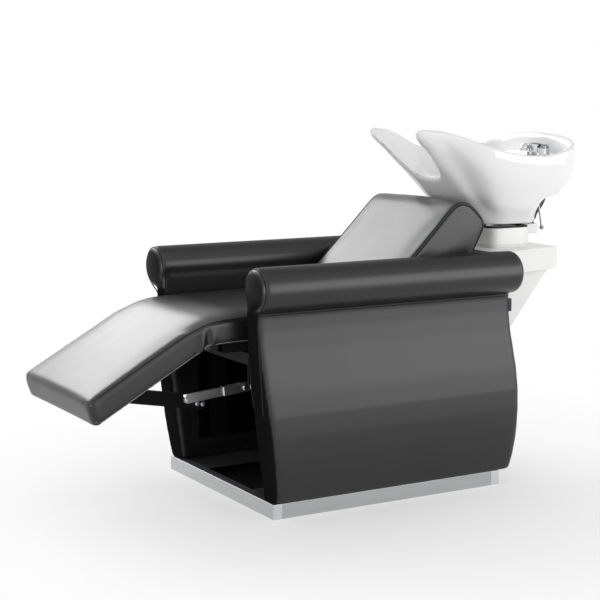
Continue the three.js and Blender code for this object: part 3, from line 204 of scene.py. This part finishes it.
floor_mesh = bpy.data.meshes.new("studio_floor")
with opened(floor_mesh) as bm:
    bmesh.ops.create_grid(bm, x_segments=1, y_segments=1, size=30)
floor = placed("studio_floor", floor_mesh)
paper = Finish("white_paper")
paper.surface(Base_Color=paper.between(paper.noise(3), (0.9, 0.9, 0.9), (0.93, 0.93, 0.93)), Roughness=0.9)
far = paper.add("ShaderNodeVectorMath", {"operation": "LENGTH"}, {0: paper.place()}, out=1)
shown = seen(paper) * ((far - 1.0) * 0.5 + 0.74).clipped()
glow = paper.add("ShaderNodeEmission", {}, {"Color": (1, 1, 1, 1), "Strength": 1.0})
mixed = paper.add("ShaderNodeMixShader", {},
                  {0: shown, 1: Signal(paper, paper.shader.outputs[0]), 2: glow})
paper.links.new(mixed.socket, paper.nodes["Material Output"].inputs["Surface"])
floor_mesh.materials.append(paper.material)

lights = (
    ("far_soft_box", (-3.45, -1.1, 2.85), (0, -0.1, 0.5), (3.4, 2.3), 132),
    ("top_soft_box", (0.2, -0.4, 4.4), (0, -0.1, 0.4), (3.2, 3.2), 13),
    ("side_soft_box", (3.5, 2.5, 1.28), (0, 0.1, 0.4), (4.2, 2.5), 82),
    ("near_fill", (4.6, -2.4, 2.0), (0, 0.1, 0.5), (3.0, 2.4), 7),
    ("front_fill", (1.5, -3.2, 0.75), (0.05, 0.45, 0.80), (1.6, 1.0), 28),
)
for name, where, aim, size, watts in lights:
    lamp = bpy.data.lights.new(name, "AREA")
    lamp.shape = "RECTANGLE"
    lamp.size, lamp.size_y = size
    lamp.energy = watts
    lamp_object = placed(name, lamp)
    lamp_object.location = where
    lamp_object.rotation_euler = (Vector(aim) - Vector(where)).to_track_quat("-Z", "Y").to_euler()


# Plinth. Four folded channels of brushed stainless sheet stand on the floor round a dark board,
# and two flat strips of the same sheet carry the side panels.
def brushed_stainless(name, along, low, high):
    """Stainless sheet, brushed along one direction, between two greys of a faintly blue cast"""
    f = Finish(name)
    cast = (1, 1.01, 1.02)
    lines = f.noise(3.0, 6.0, tuple(1.5 if i == along else 110 for i in range(3)))
    haze = f.noise(5.0, 3.0)
    return f.surface(
        Base_Color=f.between(lines, [low * part for part in cast], [high * part for part in cast]),
        Metallic=1.0, Roughness=0.24 + lines * 0.16 + haze * 0.08,
        Normal=f.bump(lines, 0.00006, 0.5))


weld_gap = 0.00001
flat_within = radians(0.6)
sharp_beyond = radians(34)


def eased(node, width, steps=3):
    """The CAD piece with its corners rounded over as a real edge is"""
    source = frame["nodes"][node]
    mesh = bpy.data.meshes.new(node + "_piece")
    bm = bmesh.new()
    bm.from_mesh(source.data)
    bmesh.ops.remove_doubles(bm, verts=bm.verts, dist=weld_gap)
    bmesh.ops.dissolve_limit(bm, angle_limit=flat_within, verts=bm.verts, edges=bm.edges)
    for face in bm.faces:
        face.smooth = True
    bm.to_mesh(mesh)
    bm.free()
    mesh.set_sharp_from_angle(angle=sharp_beyond)
    piece = placed(mesh.name, mesh)
    edge = piece.modifiers.new("edge", "BEVEL")
    edge.width = width
    edge.segments = steps
    edge.limit_method = "ANGLE"
    edge.angle_limit = sharp_beyond
    edge.harden_normals = True
    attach(piece, source["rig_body"])
    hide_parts(node)
    return piece


def dress(piece, material):
    """Gives a piece its one finish"""
    piece.data.materials.clear()
    piece.data.materials.append(material)
    return piece


def take(width, material, slot, *nodes, steps=3):
    """Takes over CAD pieces as they are, with edges rounded to the width, in one finish"""
    for node in nodes:
        dress(eased(node, width, steps), material)


stainless_across = brushed_stainless("stainless_across", 0, 0.48, 0.62)
# The rails and strips that run along the unit take the same steel in darker greys: painted shade on the sides
# of the plinth.
stainless_along_shaded = brushed_stainless("stainless_along_shaded", 1, 0.34, 0.45)
take(0.0009, stainless_across, "stainless", "base_rail_front", "base_rail_rear")
take(0.0009, stainless_along_shaded, "stainless", "base_rail_left", "base_rail_right")
take(0.0006, stainless_along_shaded, "stainless", "side_plate_left", "side_plate_right")


def dark_board():
    """Board in near black, a little uneven"""
    f = Finish("dark_board")
    fibre = f.noise(4.0, 6.0, (30, 3, 30))
    return f.surface(Base_Color=f.between(fibre, (0.006, 0.006, 0.006), (0.018, 0.0175, 0.017)),
                     Specular_IOR_Level=0.06, Roughness=0.55 + fibre * 0.2,
                     Normal=f.bump(fibre, 0.0002, 0.4))


take(0.001, dark_board(), "board", "base_board", "side_core_left", "side_core_right")


# Seat frame. Square steel tube, welded and powder coated black: two rails along the seat on three
# cross tubes whose flanges are screwed to the side panels, and two flat bars for the backrest.
def powder_coat():
    """Black powder coat, with its fine orange peel"""
    f = Finish("black_powder_coat")
    peel = f.noise(420, 2.0)
    dust = f.noise(14, 4.0)
    return f.surface(Base_Color=f.between(dust, (0.010, 0.010, 0.011), (0.018, 0.018, 0.019)),
                     Specular_IOR_Level=0.03, Roughness=0.36 + dust * 0.16,
                     Normal=f.bump(peel, 0.00012, 0.5))


black_coat = powder_coat()
take(0.0012, black_coat, "black_steel", "seat_rail_left", "seat_rail_right", "seat_cross_front",
     "seat_cross_middle", "seat_cross_rear", "backrest_bracket_left", "backrest_bracket_right")


# Knee hinge and tilt joint. Pressed and turned steel, zinc plated: bright on the tilt plate, its
# pin and the carrier, and on the drive's rear pin, but blackened on the two leaves at the knee.
def zinc_plate(name, low, high):
    """Zinc on steel, bright or blackened, faintly clouded"""
    f = Finish(name)
    cloud = f.noise(45, 3.0)
    crystals = f.add("ShaderNodeTexVoronoi", {}, {"Vector": f.place(), "Scale": 160.0})
    return f.surface(Base_Color=f.between(cloud, low, high), Metallic=1.0,
                     Roughness=0.26 + cloud * 0.14 + crystals * 0.05, Normal=f.bump(crystals, 0.00003, 0.4))


take(0.0005, zinc_plate("bright_zinc", (0.42, 0.43, 0.45), (0.60, 0.60, 0.60)), "zinc_steel",
     "tilt_plate", "tilt_pin", "basin_carrier", "link_pin_rear", steps=2)
take(0.0005, zinc_plate("black_zinc", (0.030, 0.030, 0.033), (0.060, 0.060, 0.064)), "zinc_steel",
     "knee_leaf_seat", "knee_leaf_legrest", steps=2)


# Lifting lever and drive. A black lever under the leg rest is pushed by a link and a rod in satin
# nickel; the rod slides in a black tube, with a moulded gear case and motor behind it.
def moulded_black():
    """Black moulded plastic with a spark-eroded texture"""
    f = Finish("moulded_black")
    spark = f.noise(900, 2.0)
    flow = f.noise(12, 3.0)
    return f.surface(Base_Color=f.between(flow, (0.014, 0.014, 0.015), (0.024, 0.024, 0.025)),
                     Roughness=0.42 + flow * 0.12, Normal=f.bump(spark, 0.00008, 0.6))


def satin_nickel():
    """Nickel plate over ground steel, as on drive parts"""
    f = Finish("satin_nickel")
    ground = f.noise(8.0, 4.0, (60, 2, 60))
    return f.surface(Base_Color=f.between(ground, (0.80, 0.805, 0.81), (0.92, 0.92, 0.92)), Metallic=1.0,
                     Roughness=0.32 + ground * 0.14, Normal=f.bump(ground, 0.00003, 0.4))


nickel = satin_nickel()
black_moulding = moulded_black()
take(0.0010, black_coat, "black_steel", "legrest_lever", "actuator_tube")
take(0.0007, nickel, "chrome", "push_link", "actuator_rod", "link_pin_front", "lever_bolt_front",
     "lever_bolt_rear")
take(0.0025, black_moulding, "black_plastic", "actuator_motor")


# Console. Sheet panels finished in gloss white lacquer: the housing that leans out behind the
# chair, its access panel, the tray on top of it and the rounded column on its recessed foot.
def white_lacquer(name, low, high):
    """White lacquer over sheet, with a soft gloss"""
    f = Finish(name)
    flow = f.noise(9, 3.0)
    peel = f.noise(240, 2.0)
    return f.surface(Base_Color=f.between(flow, low, high), Roughness=0.16 + flow * 0.10,
                     Normal=f.bump(peel, 0.00004, 0.5))


lacquer = white_lacquer("white_lacquer", (0.84, 0.84, 0.83), (0.88, 0.88, 0.875))
take(0.0025, lacquer, "white_panel", "console_housing")
take(0.0010, lacquer, "white_panel", "rear_access_panel")
take(0.0030, lacquer, "white_panel", "console_tray", "column")


# Gasket. A moulded ring of matt black rubber that lies on top of the column, and that the skirt of
# the basin comes down on.
def soft_rubber():
    """Matt black rubber with a bloom"""
    f = Finish("soft_rubber")
    bloom = f.noise(18, 4.0)
    return f.surface(Base_Color=f.between(bloom, (0.008, 0.008, 0.008), (0.022, 0.022, 0.022)),
                     Roughness=0.62 + bloom * 0.2, Normal=f.bump(f.noise(500, 2.0), 0.0001, 0.4))


take(0.0010, soft_rubber(), "black_rubber", "basin_gasket")


# Basin. Slip-cast vitreous china in one piece, glazed all over: two horns either side of the neck
# notch, a rolled lip, a deep bowl, and a skirt that hides the tilt joint.
def clamped(share):
    """The share held between 0 and 1"""
    return max(0.0, min(1.0, share))


def rising(value, start, end):
    """0 up to start, 1 from end, and a smooth step between them"""
    share = clamped((value - start) / (end - start))
    return share * share * (3 - 2 * share)


def horn_edge(here):
    """How far the china is thickened before its remesh, so that the horns' thin edges stay whole"""
    all_over = 0.0004
    at_horns = 0.0014
    horns_from = 0.47
    return all_over + at_horns * rising(horns_from - here.y, 0, 0.04) * rising(abs(here.x), 0.04, 0.07)


def evaluated(piece):
    """A new mesh of the piece, with its modifiers worked out"""
    return bpy.data.meshes.new_from_object(piece.evaluated_get(bpy.context.evaluated_depsgraph_get()))


def settle(piece):
    """Gives the piece the mesh that its modifiers make, and takes them away"""
    made = evaluated(piece)
    piece.modifiers.clear()
    piece.data = made


def relax(bm, verts, passes, sideways=True):
    """Evens the vertices out, along X too if sideways is set"""
    for _ in range(passes):
        bmesh.ops.smooth_vert(bm, verts=verts, factor=0.5,
                              use_axis_x=sideways, use_axis_y=True, use_axis_z=True)


def fine_skin(nodes, name, voxel, passes, grow=None):
    """One closed skin round CAD solids, remeshed finely and relaxed so that no facet is left"""
    bm = bmesh.new()
    for node in nodes:
        bm.from_mesh(frame["nodes"][node].data)
    bmesh.ops.remove_doubles(bm, verts=bm.verts, dist=weld_gap)
    if grow:
        bm.normal_update()
        for vert, way in [(vert, vert.normal.copy()) for vert in bm.verts]:
            vert.co += way * grow(vert.co)
    mesh = bpy.data.meshes.new(name)
    bm.to_mesh(mesh)
    bm.free()
    piece = placed(name, mesh)
    remesh = piece.modifiers.new("remesh", "REMESH")
    remesh.mode = "VOXEL"
    remesh.voxel_size = voxel
    settle(piece)
    with opened(piece.data) as bm:
        relax(bm, bm.verts, passes)
        for face in bm.faces:
            face.smooth = True
    piece.data.name = name
    return piece


def vitreous_glaze():
    """Clear glaze over white china, slightly wavy"""
    f = Finish("vitreous_glaze")
    wave = f.noise(11, 2.0)
    depth = f.noise(4, 3.0)
    return f.surface(Base_Color=f.between(depth, (0.84, 0.845, 0.845), (0.90, 0.90, 0.895)),
                     Roughness=0.045 + depth * 0.04, Coat_Weight=0.35 + depth * 0.1,
                     Normal=f.bump(wave, 0.0009, 0.35))


china = fine_skin(["basin"], "basin_china", 0.0034, 10, horn_edge)
with opened(china.data) as bm:
    outer_walls = [vert for vert in bm.verts if 0.69 < vert.co.z < 0.885 and vert.normal.z < 0.35]
    relax(bm, outer_walls, 40)
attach(china, "basin")
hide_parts("basin")
dress(china, vitreous_glaze())


# Waste. A chromed strainer in the drain, a black hose down the column, and a trap and the block
# that the supply hoses enter, both moulded in white.
def polished_chrome(name, low, high):
    """Polished chrome with the faintest smear"""
    f = Finish(name)
    smear = f.noise(26, 3.0)
    return f.surface(Base_Color=f.between(smear, low, high), Metallic=1.0,
                     Roughness=0.035 + smear * 0.06, Normal=f.bump(smear, 0.00002, 0.3))


chrome = polished_chrome("polished_chrome", (0.50, 0.51, 0.53), (0.58, 0.59, 0.60))
moulded_white = white_lacquer("moulded_white", (0.80, 0.80, 0.79), (0.85, 0.85, 0.84))
take(0.0006, chrome, "chrome", "drain_strainer")
take(0.0006, black_moulding, "black_plastic", "waste_hose")
take(0.0015, moulded_white, "white_plastic", "bottle_trap")
take(0.0030, moulded_white, "white_plastic", "connection_block")


# Water fittings. Plated brass: the mixer and the handset in its dock are bright chrome, while the mixer's
# cap and blade lever, the bush in the rim and the release lever on its stud are a darker chrome.
take(0.0006, chrome, "chrome", "mixer_body", "handset_dock", "spray_handset")
darker_chrome = polished_chrome("darker_chrome_finish", (0.20, 0.20, 0.21), (0.27, 0.27, 0.28))
take(0.0006, darker_chrome, "chrome", "mixer_cap", "mixer_lever", "rim_bush", "tilt_lever_stud", "tilt_lever")


# Side panels and arm rolls. Foam over board, covered in black vinyl: the roll's round end and the
# panel's front edge share one facing, with a piped seam where it meets the roll and the outer face.
# Shade is painted into the vinyl on the facings, over the tops of the rolls and on the seat, where it loses
# its shine.
def black_vinyl(name="black_vinyl", painted_shade_by=None):
    """Black upholstery vinyl with a pebble grain; where the named attribute is 1 it is mixed with a copy
    without shine, as painted shade
    """
    f = Finish(name)
    pebble = f.add("ShaderNodeTexVoronoi", {"feature": "SMOOTH_F1"}, {"Vector": f.place(), "Scale": 620.0})
    pores = f.noise(1500, 2.0)
    tone = f.noise(5.0, 5.0)
    wear = f.noise(22, 4.0)
    made = f.surface(Base_Color=f.between(tone, (0.0055, 0.0055, 0.006), (0.010, 0.010, 0.011)),
                     Specular_IOR_Level=0.52, Roughness=0.27 + tone * 0.05 + wear * 0.05,
                     Normal=f.bump(pebble * 0.8 + pores * 0.25, 0.00012, 0.4))
    if painted_shade_by:
        shaded_copy = f.nodes.new("ShaderNodeBsdfPrincipled")
        shaded_copy.inputs["Specular IOR Level"].default_value = 0.0
        for key in ("Base Color", "Roughness", "Normal"):
            f.links.new(f.shader.inputs[key].links[0].from_socket, shaded_copy.inputs[key])
        share = f.add("ShaderNodeAttribute", {"attribute_name": painted_shade_by}, out="Fac")
        mixed = f.add("ShaderNodeMixShader", {}, {0: share, 1: Signal(f, f.shader.outputs[0]),
                                                 2: Signal(f, shaded_copy.outputs[0])})
        f.links.new(mixed.socket, f.nodes["Material Output"].inputs["Surface"])
    return made


def piping_vinyl_painted_shade():
    """The same vinyl over the cord, darker and with little shine: painted shade in the crease of its seam"""
    f = Finish("piping_vinyl_painted_shade")
    tone = f.noise(40.0, 3.0)
    return f.surface(Base_Color=f.between(tone, (0.003, 0.003, 0.003), (0.007, 0.007, 0.007)),
                     Specular_IOR_Level=0.2, Roughness=0.42 + tone * 0.10,
                     Normal=f.bump(f.noise(700, 2.0), 0.0001, 0.4))


def seam_cord(name, points, radius, material, ribs=(1.0,)):
    """A round cord laid along points: a piped seam, or a hose. ribs are shares of its radius, in turn"""
    curve = bpy.data.curves.new(name, "CURVE")
    curve.dimensions = "3D"
    curve.bevel_depth = radius
    curve.bevel_resolution = 3
    spline = curve.splines.new("POLY")
    spline.points.add(len(points) - 1)
    for i, (point, place) in enumerate(zip(spline.points, points)):
        point.co = (*place, 1)
        point.radius = ribs[i % len(ribs)]
    curve.use_fill_caps = True
    rough = placed(name, curve)
    mesh = evaluated(rough)
    bpy.data.objects.remove(rough)
    mesh.name = name
    for face in mesh.polygons:
        face.use_smooth = True
    return dress(placed(name, mesh), material)


def even(points, gap):
    """The same line with its points a fixed distance apart, eased"""
    out = [points[0]]
    left = gap
    for start, end in zip(points, points[1:]):
        reach = (end - start).length
        while left <= reach:
            out.append(start.lerp(end, left / reach))
            left += gap
        left -= reach
    if (out[-1] - points[-1]).length > gap * 0.3:
        out.append(points[-1])
    for _ in range(3):
        out = [out[0], *[(a + b * 2 + c) / 4 for a, b, c in zip(out, out[1:], out[2:])], out[-1]]
    return out


def skin_of(piece):
    """The piece's surface, to lay a seam on"""
    bm = bmesh.new()
    bm.from_mesh(piece.data)
    tree = BVHTree.FromBMesh(bm)
    bm.free()
    return tree


def laid(tree, stations):
    """Where a line from inside the pad comes out at its surface, one point for each station"""
    return [hit for hit in (tree.ray_cast(start, way.normalized())[0] for start, way in stations) if hit]


def mark_painted_shade(piece, share):
    """Writes how much painted shade the vinyl takes at each vertex of a piece"""
    shares = piece.data.attributes.new("dull_share", "FLOAT", "POINT")
    for vertex in piece.data.vertices:
        shares.data[vertex.index].value = share(vertex)


# The vinyl of the sides and the seat, with shade painted in where its attribute says.
vinyl_painted_shade = black_vinyl("vinyl_painted_shade", "dull_share")
# The piping cord is darker than the vinyl: painted shade along the seams.
piping = piping_vinyl_painted_shade()
both_sides = (("left", 1), ("right", -1))
roll_z = 0.564
roll_radius = 0.055
roll_front = -0.3282
roll_dome = 0.012
facing_back = roll_front + 0.017
facing_inset = 0.018
panel_foot = 0.0383
panel_top = 0.50
panel_rear = 0.448


def side_painted_shade(vertex):
    """Painted shade on the facing, and on the roll also over its top"""
    ahead = -vertex.normal.y
    on_panel = rising(ahead, 0.38, 0.52)
    on_roll = max(rising(ahead, 0.80, 0.92) * 0.8, rising(vertex.normal.z, 0.45, 0.90) * 0.55)
    return on_panel + (on_roll - on_panel) * rising(vertex.co.z, 0.506, 0.516)


def panel_and_roll(side, way):
    """One side of the chair, mirrored by way, with its facing seam and the seam under the roll"""
    nodes = [f"arm_roll_{side}", f"side_pad_{side}", f"side_core_{side}"]
    skin = fine_skin(nodes, f"side_{side}", 0.005, 4)
    roll_x = way * 0.2855
    inner_x = way * 0.2305
    with opened(skin.data) as bm:
        for vert in bm.verts:
            away = Vector((vert.co.x - roll_x, vert.co.z - roll_z)).length / roll_radius
            if vert.co.y < roll_front + 0.012 and away < 1:
                vert.co.y -= roll_dome * (1 - away * away)
    tree = skin_of(skin)
    out = Vector((way, 0, 0))

    def outer_face(y, z):
        return tree.ray_cast(Vector((way * 0.6, y, z)), -out)[0]

    up_panel = [z for z in (panel_foot + 0.012 + i * 0.010 for i in range(46)) if z < panel_top]
    round_roll = [radians(-62 + i * 8) for i in range(31)]
    down_panel = [z for z in (0.552 - i * 0.010 for i in range(50)) if z > panel_foot + 0.012]
    front_outer = [(outer_face(roll_front + 0.05, z) - out * facing_inset + Vector((0, -0.032, 0)),
                    out + Vector((0, -0.55, 0))) for z in up_panel]
    round_end = [(Vector((roll_x, facing_back, roll_z)), out * cos(a) + Vector((0, -0.30, sin(a))))
                 for a in round_roll]
    front_inner = [(Vector((inner_x + way * facing_inset, facing_back, z)), -out + Vector((0, -0.55, 0)))
                   for z in down_panel]
    facing = even(laid(tree, front_outer + round_end + front_inner), 0.005)
    back_along = [y for y in (roll_front + 0.012 + i * 0.012 for i in range(63)) if y < panel_rear]
    under = even([outer_face(y, 0.501) for y in back_along], 0.006)
    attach(skin, "base")
    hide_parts(f"arm_roll_{side}", f"side_pad_{side}")
    dress(skin, vinyl_painted_shade)
    mark_painted_shade(skin, side_painted_shade)
    for name, line, radius in ((f"facing_piping_{side}", facing, 0.0016),
                               (f"roll_seam_{side}", under, 0.0011)):
        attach(seam_cord(name, line, radius, piping), "base")
    return skin


sides = [panel_and_roll(side, way) for side, way in both_sides]


# Seat and leg rest. One long pad that runs over the knee: foam on the two boards, a single top
# panel with a piped seam along each edge, and a boxing strip that gathers under the bend.
def hem_painted_highlight():
    """A pale cord along the pad's bottom edge: a painted highlight where light catches the edge"""
    f = Finish("hem_painted_highlight")
    hem_texture = f.noise(900, 2.0)
    tone = f.noise(30, 3.0)
    return f.surface(Base_Color=f.between(tone, (0.16, 0.16, 0.165), (0.26, 0.26, 0.265)),
                     Roughness=0.5 + tone * 0.2, Normal=f.bump(hem_texture, 0.0001, 0.5))


def filled(piece, cap):
    """The pad blown up a little inside its cover, with its moves evened out and held under the cap"""
    slack = 0.0015
    moments = 20
    before = [vertex.co.copy() for vertex in piece.data.vertices]
    for vertex in piece.data.vertices:
        vertex.co -= vertex.normal * slack
    cloth = piece.modifiers.new("fill", "CLOTH")
    cloth.settings.use_pressure = True
    cloth.settings.uniform_pressure_force = 4
    cloth.settings.effector_weights.gravity = 0
    for moment in range(1, moments + 1):
        bpy.context.scene.frame_set(moment)
    settle(piece)
    with opened(piece.data) as bm:
        for vert, start in zip(bm.verts, before):
            move = vert.co - start
            vert.co = move * (cap / (cap + move.length))
        relax(bm, bm.verts, 24)
        for vert, start in zip(bm.verts, before):
            vert.co += start
    bpy.context.scene.frame_set(1)


def finer(piece):
    """The pad's cover with each face split in four and eased"""
    split = piece.modifiers.new("split", "SUBSURF")
    split.levels = split.render_levels = 1
    settle(piece)
    for face in piece.data.polygons:
        face.use_smooth = True


def beside(tree, line, way, turn, depth, lean, gap):
    """The seam beside a line that runs along a pad: depth under it, then out to the side and up by
    lean. turn gives 1 or -1 for the side of the run that is up."""
    stations = []
    for before, here, after in zip(line, line[1:], line[2:]):
        run = (after - before).normalized()
        rise = Vector((0, run.z, -run.y)) * turn(run)
        stations.append((here - rise * depth, Vector((way, 0, 0)) + rise * lean))
    return even(laid(tree, stations), gap)


# The pale cord under each long edge of the pad is a painted highlight.
hem_highlight = hem_painted_highlight()
knee = Vector((0, -0.406178, 0.421))
# Each fold of the strip: its place along the pad from the knee, its width, and how strong it is.
knee_folds = ((0.0, 0.0065, 1.0), (-0.017, 0.007, -0.7), (0.015, 0.008, -0.55), (-0.032, 0.007, 0.35))
fold_depth = 0.0065
fold_lift = 0.004
seat_pad = fine_skin(["seat_cushion", "legrest_cushion", "seat_board", "legrest_board"], "seat_pad", 0.008, 2)
filled(seat_pad, 0.005)
finer(seat_pad)
with opened(seat_pad.data) as bm:
    bend = [vert for vert in bm.verts if abs(vert.co.y - knee.y + 0.012) < 0.125 and vert.co.z > 0.462]
    relax(bm, bend, 220, sideways=False)
    for vert in bm.verts:
        here = vert.co
        along = here.y - knee.y + 0.010
        side_share = clamped((abs(here.x) - 0.188) / 0.02)
        low_share = clamped((0.478 - here.z - abs(along) * 0.5) / 0.05)
        fold = sum(depth * exp(-((along - place) / width) ** 2) for place, width, depth in knee_folds)
        here.x -= (1 if here.x > 0 else -1) * fold * side_share * low_share * fold_depth
        here.z += exp(-(along / 0.010) ** 2) * side_share * low_share * fold_lift
seat_tree = skin_of(seat_pad)
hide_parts("seat_cushion", "legrest_cushion", "seat_board", "legrest_board")
dress(seat_pad, vinyl_painted_shade)
# The top of the seat behind the knee loses its shine: painted shade.
mark_painted_shade(seat_pad,
          lambda vertex: rising(vertex.normal.z, 0.4, 0.8) * rising(vertex.co.y, -0.42, -0.31) * 0.7)
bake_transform(seat_pad)


def long_edge(way, face):
    """Points along one long edge of the pad, on its top for face 1 and its underside for face -1"""
    pad_half = 0.220
    up = Vector((0, 0, face))
    x = way * (pad_half - 0.026)
    steps = [0.285 - i * 0.010 for i in range(102)]
    line = [seat_tree.ray_cast(Vector((x, y, 0.47 + face * 0.5)), -up)[0] for y in steps]
    line = even([point for point in line if point], 0.010)
    return beside(seat_tree, line, way, lambda run: (1 if run.y < 0 else -1) * face, 0.020, 0.85, 0.006)


for side, way in both_sides:
    for name, face, radius, cover in ((f"seat_piping_{side}", 1, 0.0017, piping),
                                      (f"seat_hem_{side}", -1, 0.0010, hem_highlight)):
        cord = seam_cord(name, long_edge(way, face), radius, cover)
        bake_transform(cord)


# Backrest. A wedge of foam on its board, covered in vinyl, with a double piped seam where the
# front panel meets each side.
back_pad = fine_skin(["backrest_cushion", "backrest_board"], "back_pad", 0.007, 2)
filled(back_pad, 0.004)
finer(back_pad)
back_tree = skin_of(back_pad)
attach(back_pad, "base")
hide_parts("backrest_cushion", "backrest_board")
dress(back_pad, black_vinyl())
back_heart = Vector((0, 0.315, 0.640))


def flank_edge(way, shift):
    """Points round the side of the backrest, from the foot of its front over the top to its rear"""
    heart = back_heart + Vector((way * 0.170, 0, 0))
    turns = [radians(212 - i * 3) for i in range(84)]
    line = laid(back_tree, [(heart, Vector((0, cos(a), sin(a)))) for a in turns])
    return beside(back_tree, even(line, 0.008), way, lambda run: -1, 0.024, shift, 0.005)


for side, way in both_sides:
    for name, shift in ((f"back_piping_{side}", 1.0), (f"back_stitch_{side}", 0.60)):
        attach(seam_cord(name, flank_edge(way, shift), 0.0017, piping), "base")


# Supply hoses. Rubber tube in dark steel braid, 10 mm across, crimped in a chromed sleeve at each
# end: they rise from the connection block to the mixer's tails.
def dark_braid():
    """Dark steel braid over rubber, as two sets of crossing strands"""
    f = Finish("dark_braid")
    one, two = (f.add("ShaderNodeTexWave", {"bands_direction": "DIAGONAL"},
                      {"Vector": f.place((1, 1, way)), "Scale": 90.0}) for way in (1, -1))
    strands = one * two
    return f.surface(Base_Color=f.between(strands, (0.02, 0.02, 0.022), (0.28, 0.28, 0.29)),
                     Metallic=0.7, Roughness=0.32 + strands * 0.2, Normal=f.bump(strands, 0.0006, 0.8))


braid = dark_braid()
sleeve_radius = 0.0062
sleeve_ribs = (1.0, 0.93)
hot_route = ((0.0490, 0.6788, 0.6633), (0.0482, 0.6785, 0.6758), (0.0512, 0.6797, 0.6878),
             (0.0575, 0.6821, 0.6984), (0.0642, 0.6848, 0.7086), (0.0707, 0.6873, 0.7190),
             (0.0759, 0.6894, 0.7302), (0.0785, 0.6904, 0.7424), (0.0791, 0.6906, 0.7549),
             (0.0788, 0.6905, 0.7675), (0.0779, 0.6902, 0.7800), (0.0771, 0.6898, 0.7925),
             (0.0770, 0.6898, 0.8050))
for name, shift in (("supply_hose_hot", 0.0), ("supply_hose_cold", 0.018)):
    route = even([Vector((x + shift, y, z)) for x, y, z in hot_route], 0.004)
    hose = seam_cord(name + "_braided", route, 0.005, braid)
    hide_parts(name)
    low = seam_cord(name + "_sleeve_low", route[:5], sleeve_radius, chrome, sleeve_ribs)
    high = seam_cord(name + "_sleeve_high", route[-5:], sleeve_radius, chrome, sleeve_ribs)
    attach(low, "base")
    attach(high, "basin")
    length = sum((b - a).length for a, b in zip(route, route[1:]))
    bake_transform(hose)


# Seam tab. A folded strip of dark satin tape, left bare, sewn into the rear seam of the near panel
# just under the roll.
def satin_tape():
    """Dark satin tape, woven across"""
    f = Finish("satin_tape")
    weft = f.add("ShaderNodeTexWave", {"bands_direction": "Z"}, {"Vector": f.place(), "Scale": 700.0})
    tone = f.noise(60, 3.0)
    return f.surface(Base_Color=f.between(tone, (0.010, 0.011, 0.020), (0.022, 0.023, 0.036)),
                     Roughness=0.42 + tone * 0.14, Normal=f.bump(weft, 0.00008, 0.5))


tab_out = Vector((0.30, 0.954, 0))
tab_side = Vector((0.954, -0.30, 0))
tab_skin = skin_of(sides[0])
tab_root = tab_skin.ray_cast(Vector((0.2850, 0.447, 0.476)) + tab_out * 0.2, -tab_out)[0] - tab_out * 0.0015
tab_reach = 0.0102
tab_profile = [(0, -0.0009), (0.0090, -0.0009), (0.0098, -0.0006), (tab_reach, 0), (0.0098, 0.0006),
               (0.0090, 0.0009), (0, 0.0009)]
tab_rows = ((-0.017, 0.0), (-0.0085, 0.0006), (0.0, 0.0009), (0.0085, 0.0005), (0.017, -0.0002))
tab_mesh = bpy.data.meshes.new("seam_tab")
with opened(tab_mesh) as bm:
    rows = [[bm.verts.new(tab_root + tab_out * out + tab_side * (across + flare * out / tab_reach)
                          + Vector((0, 0, height))) for out, across in tab_profile]
            for height, flare in tab_rows]
    for low, high in zip(rows, rows[1:]):
        for i in range(len(tab_profile)):
            j = (i + 1) % len(tab_profile)
            bm.faces.new((low[i], low[j], high[j], high[i]))
    bm.faces.new(rows[0][::-1])
    bm.faces.new(rows[-1])
    bmesh.ops.recalc_face_normals(bm, faces=bm.faces)
tab = placed("seam_tab", tab_mesh)
dress(tab, satin_tape())
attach(tab, "base")
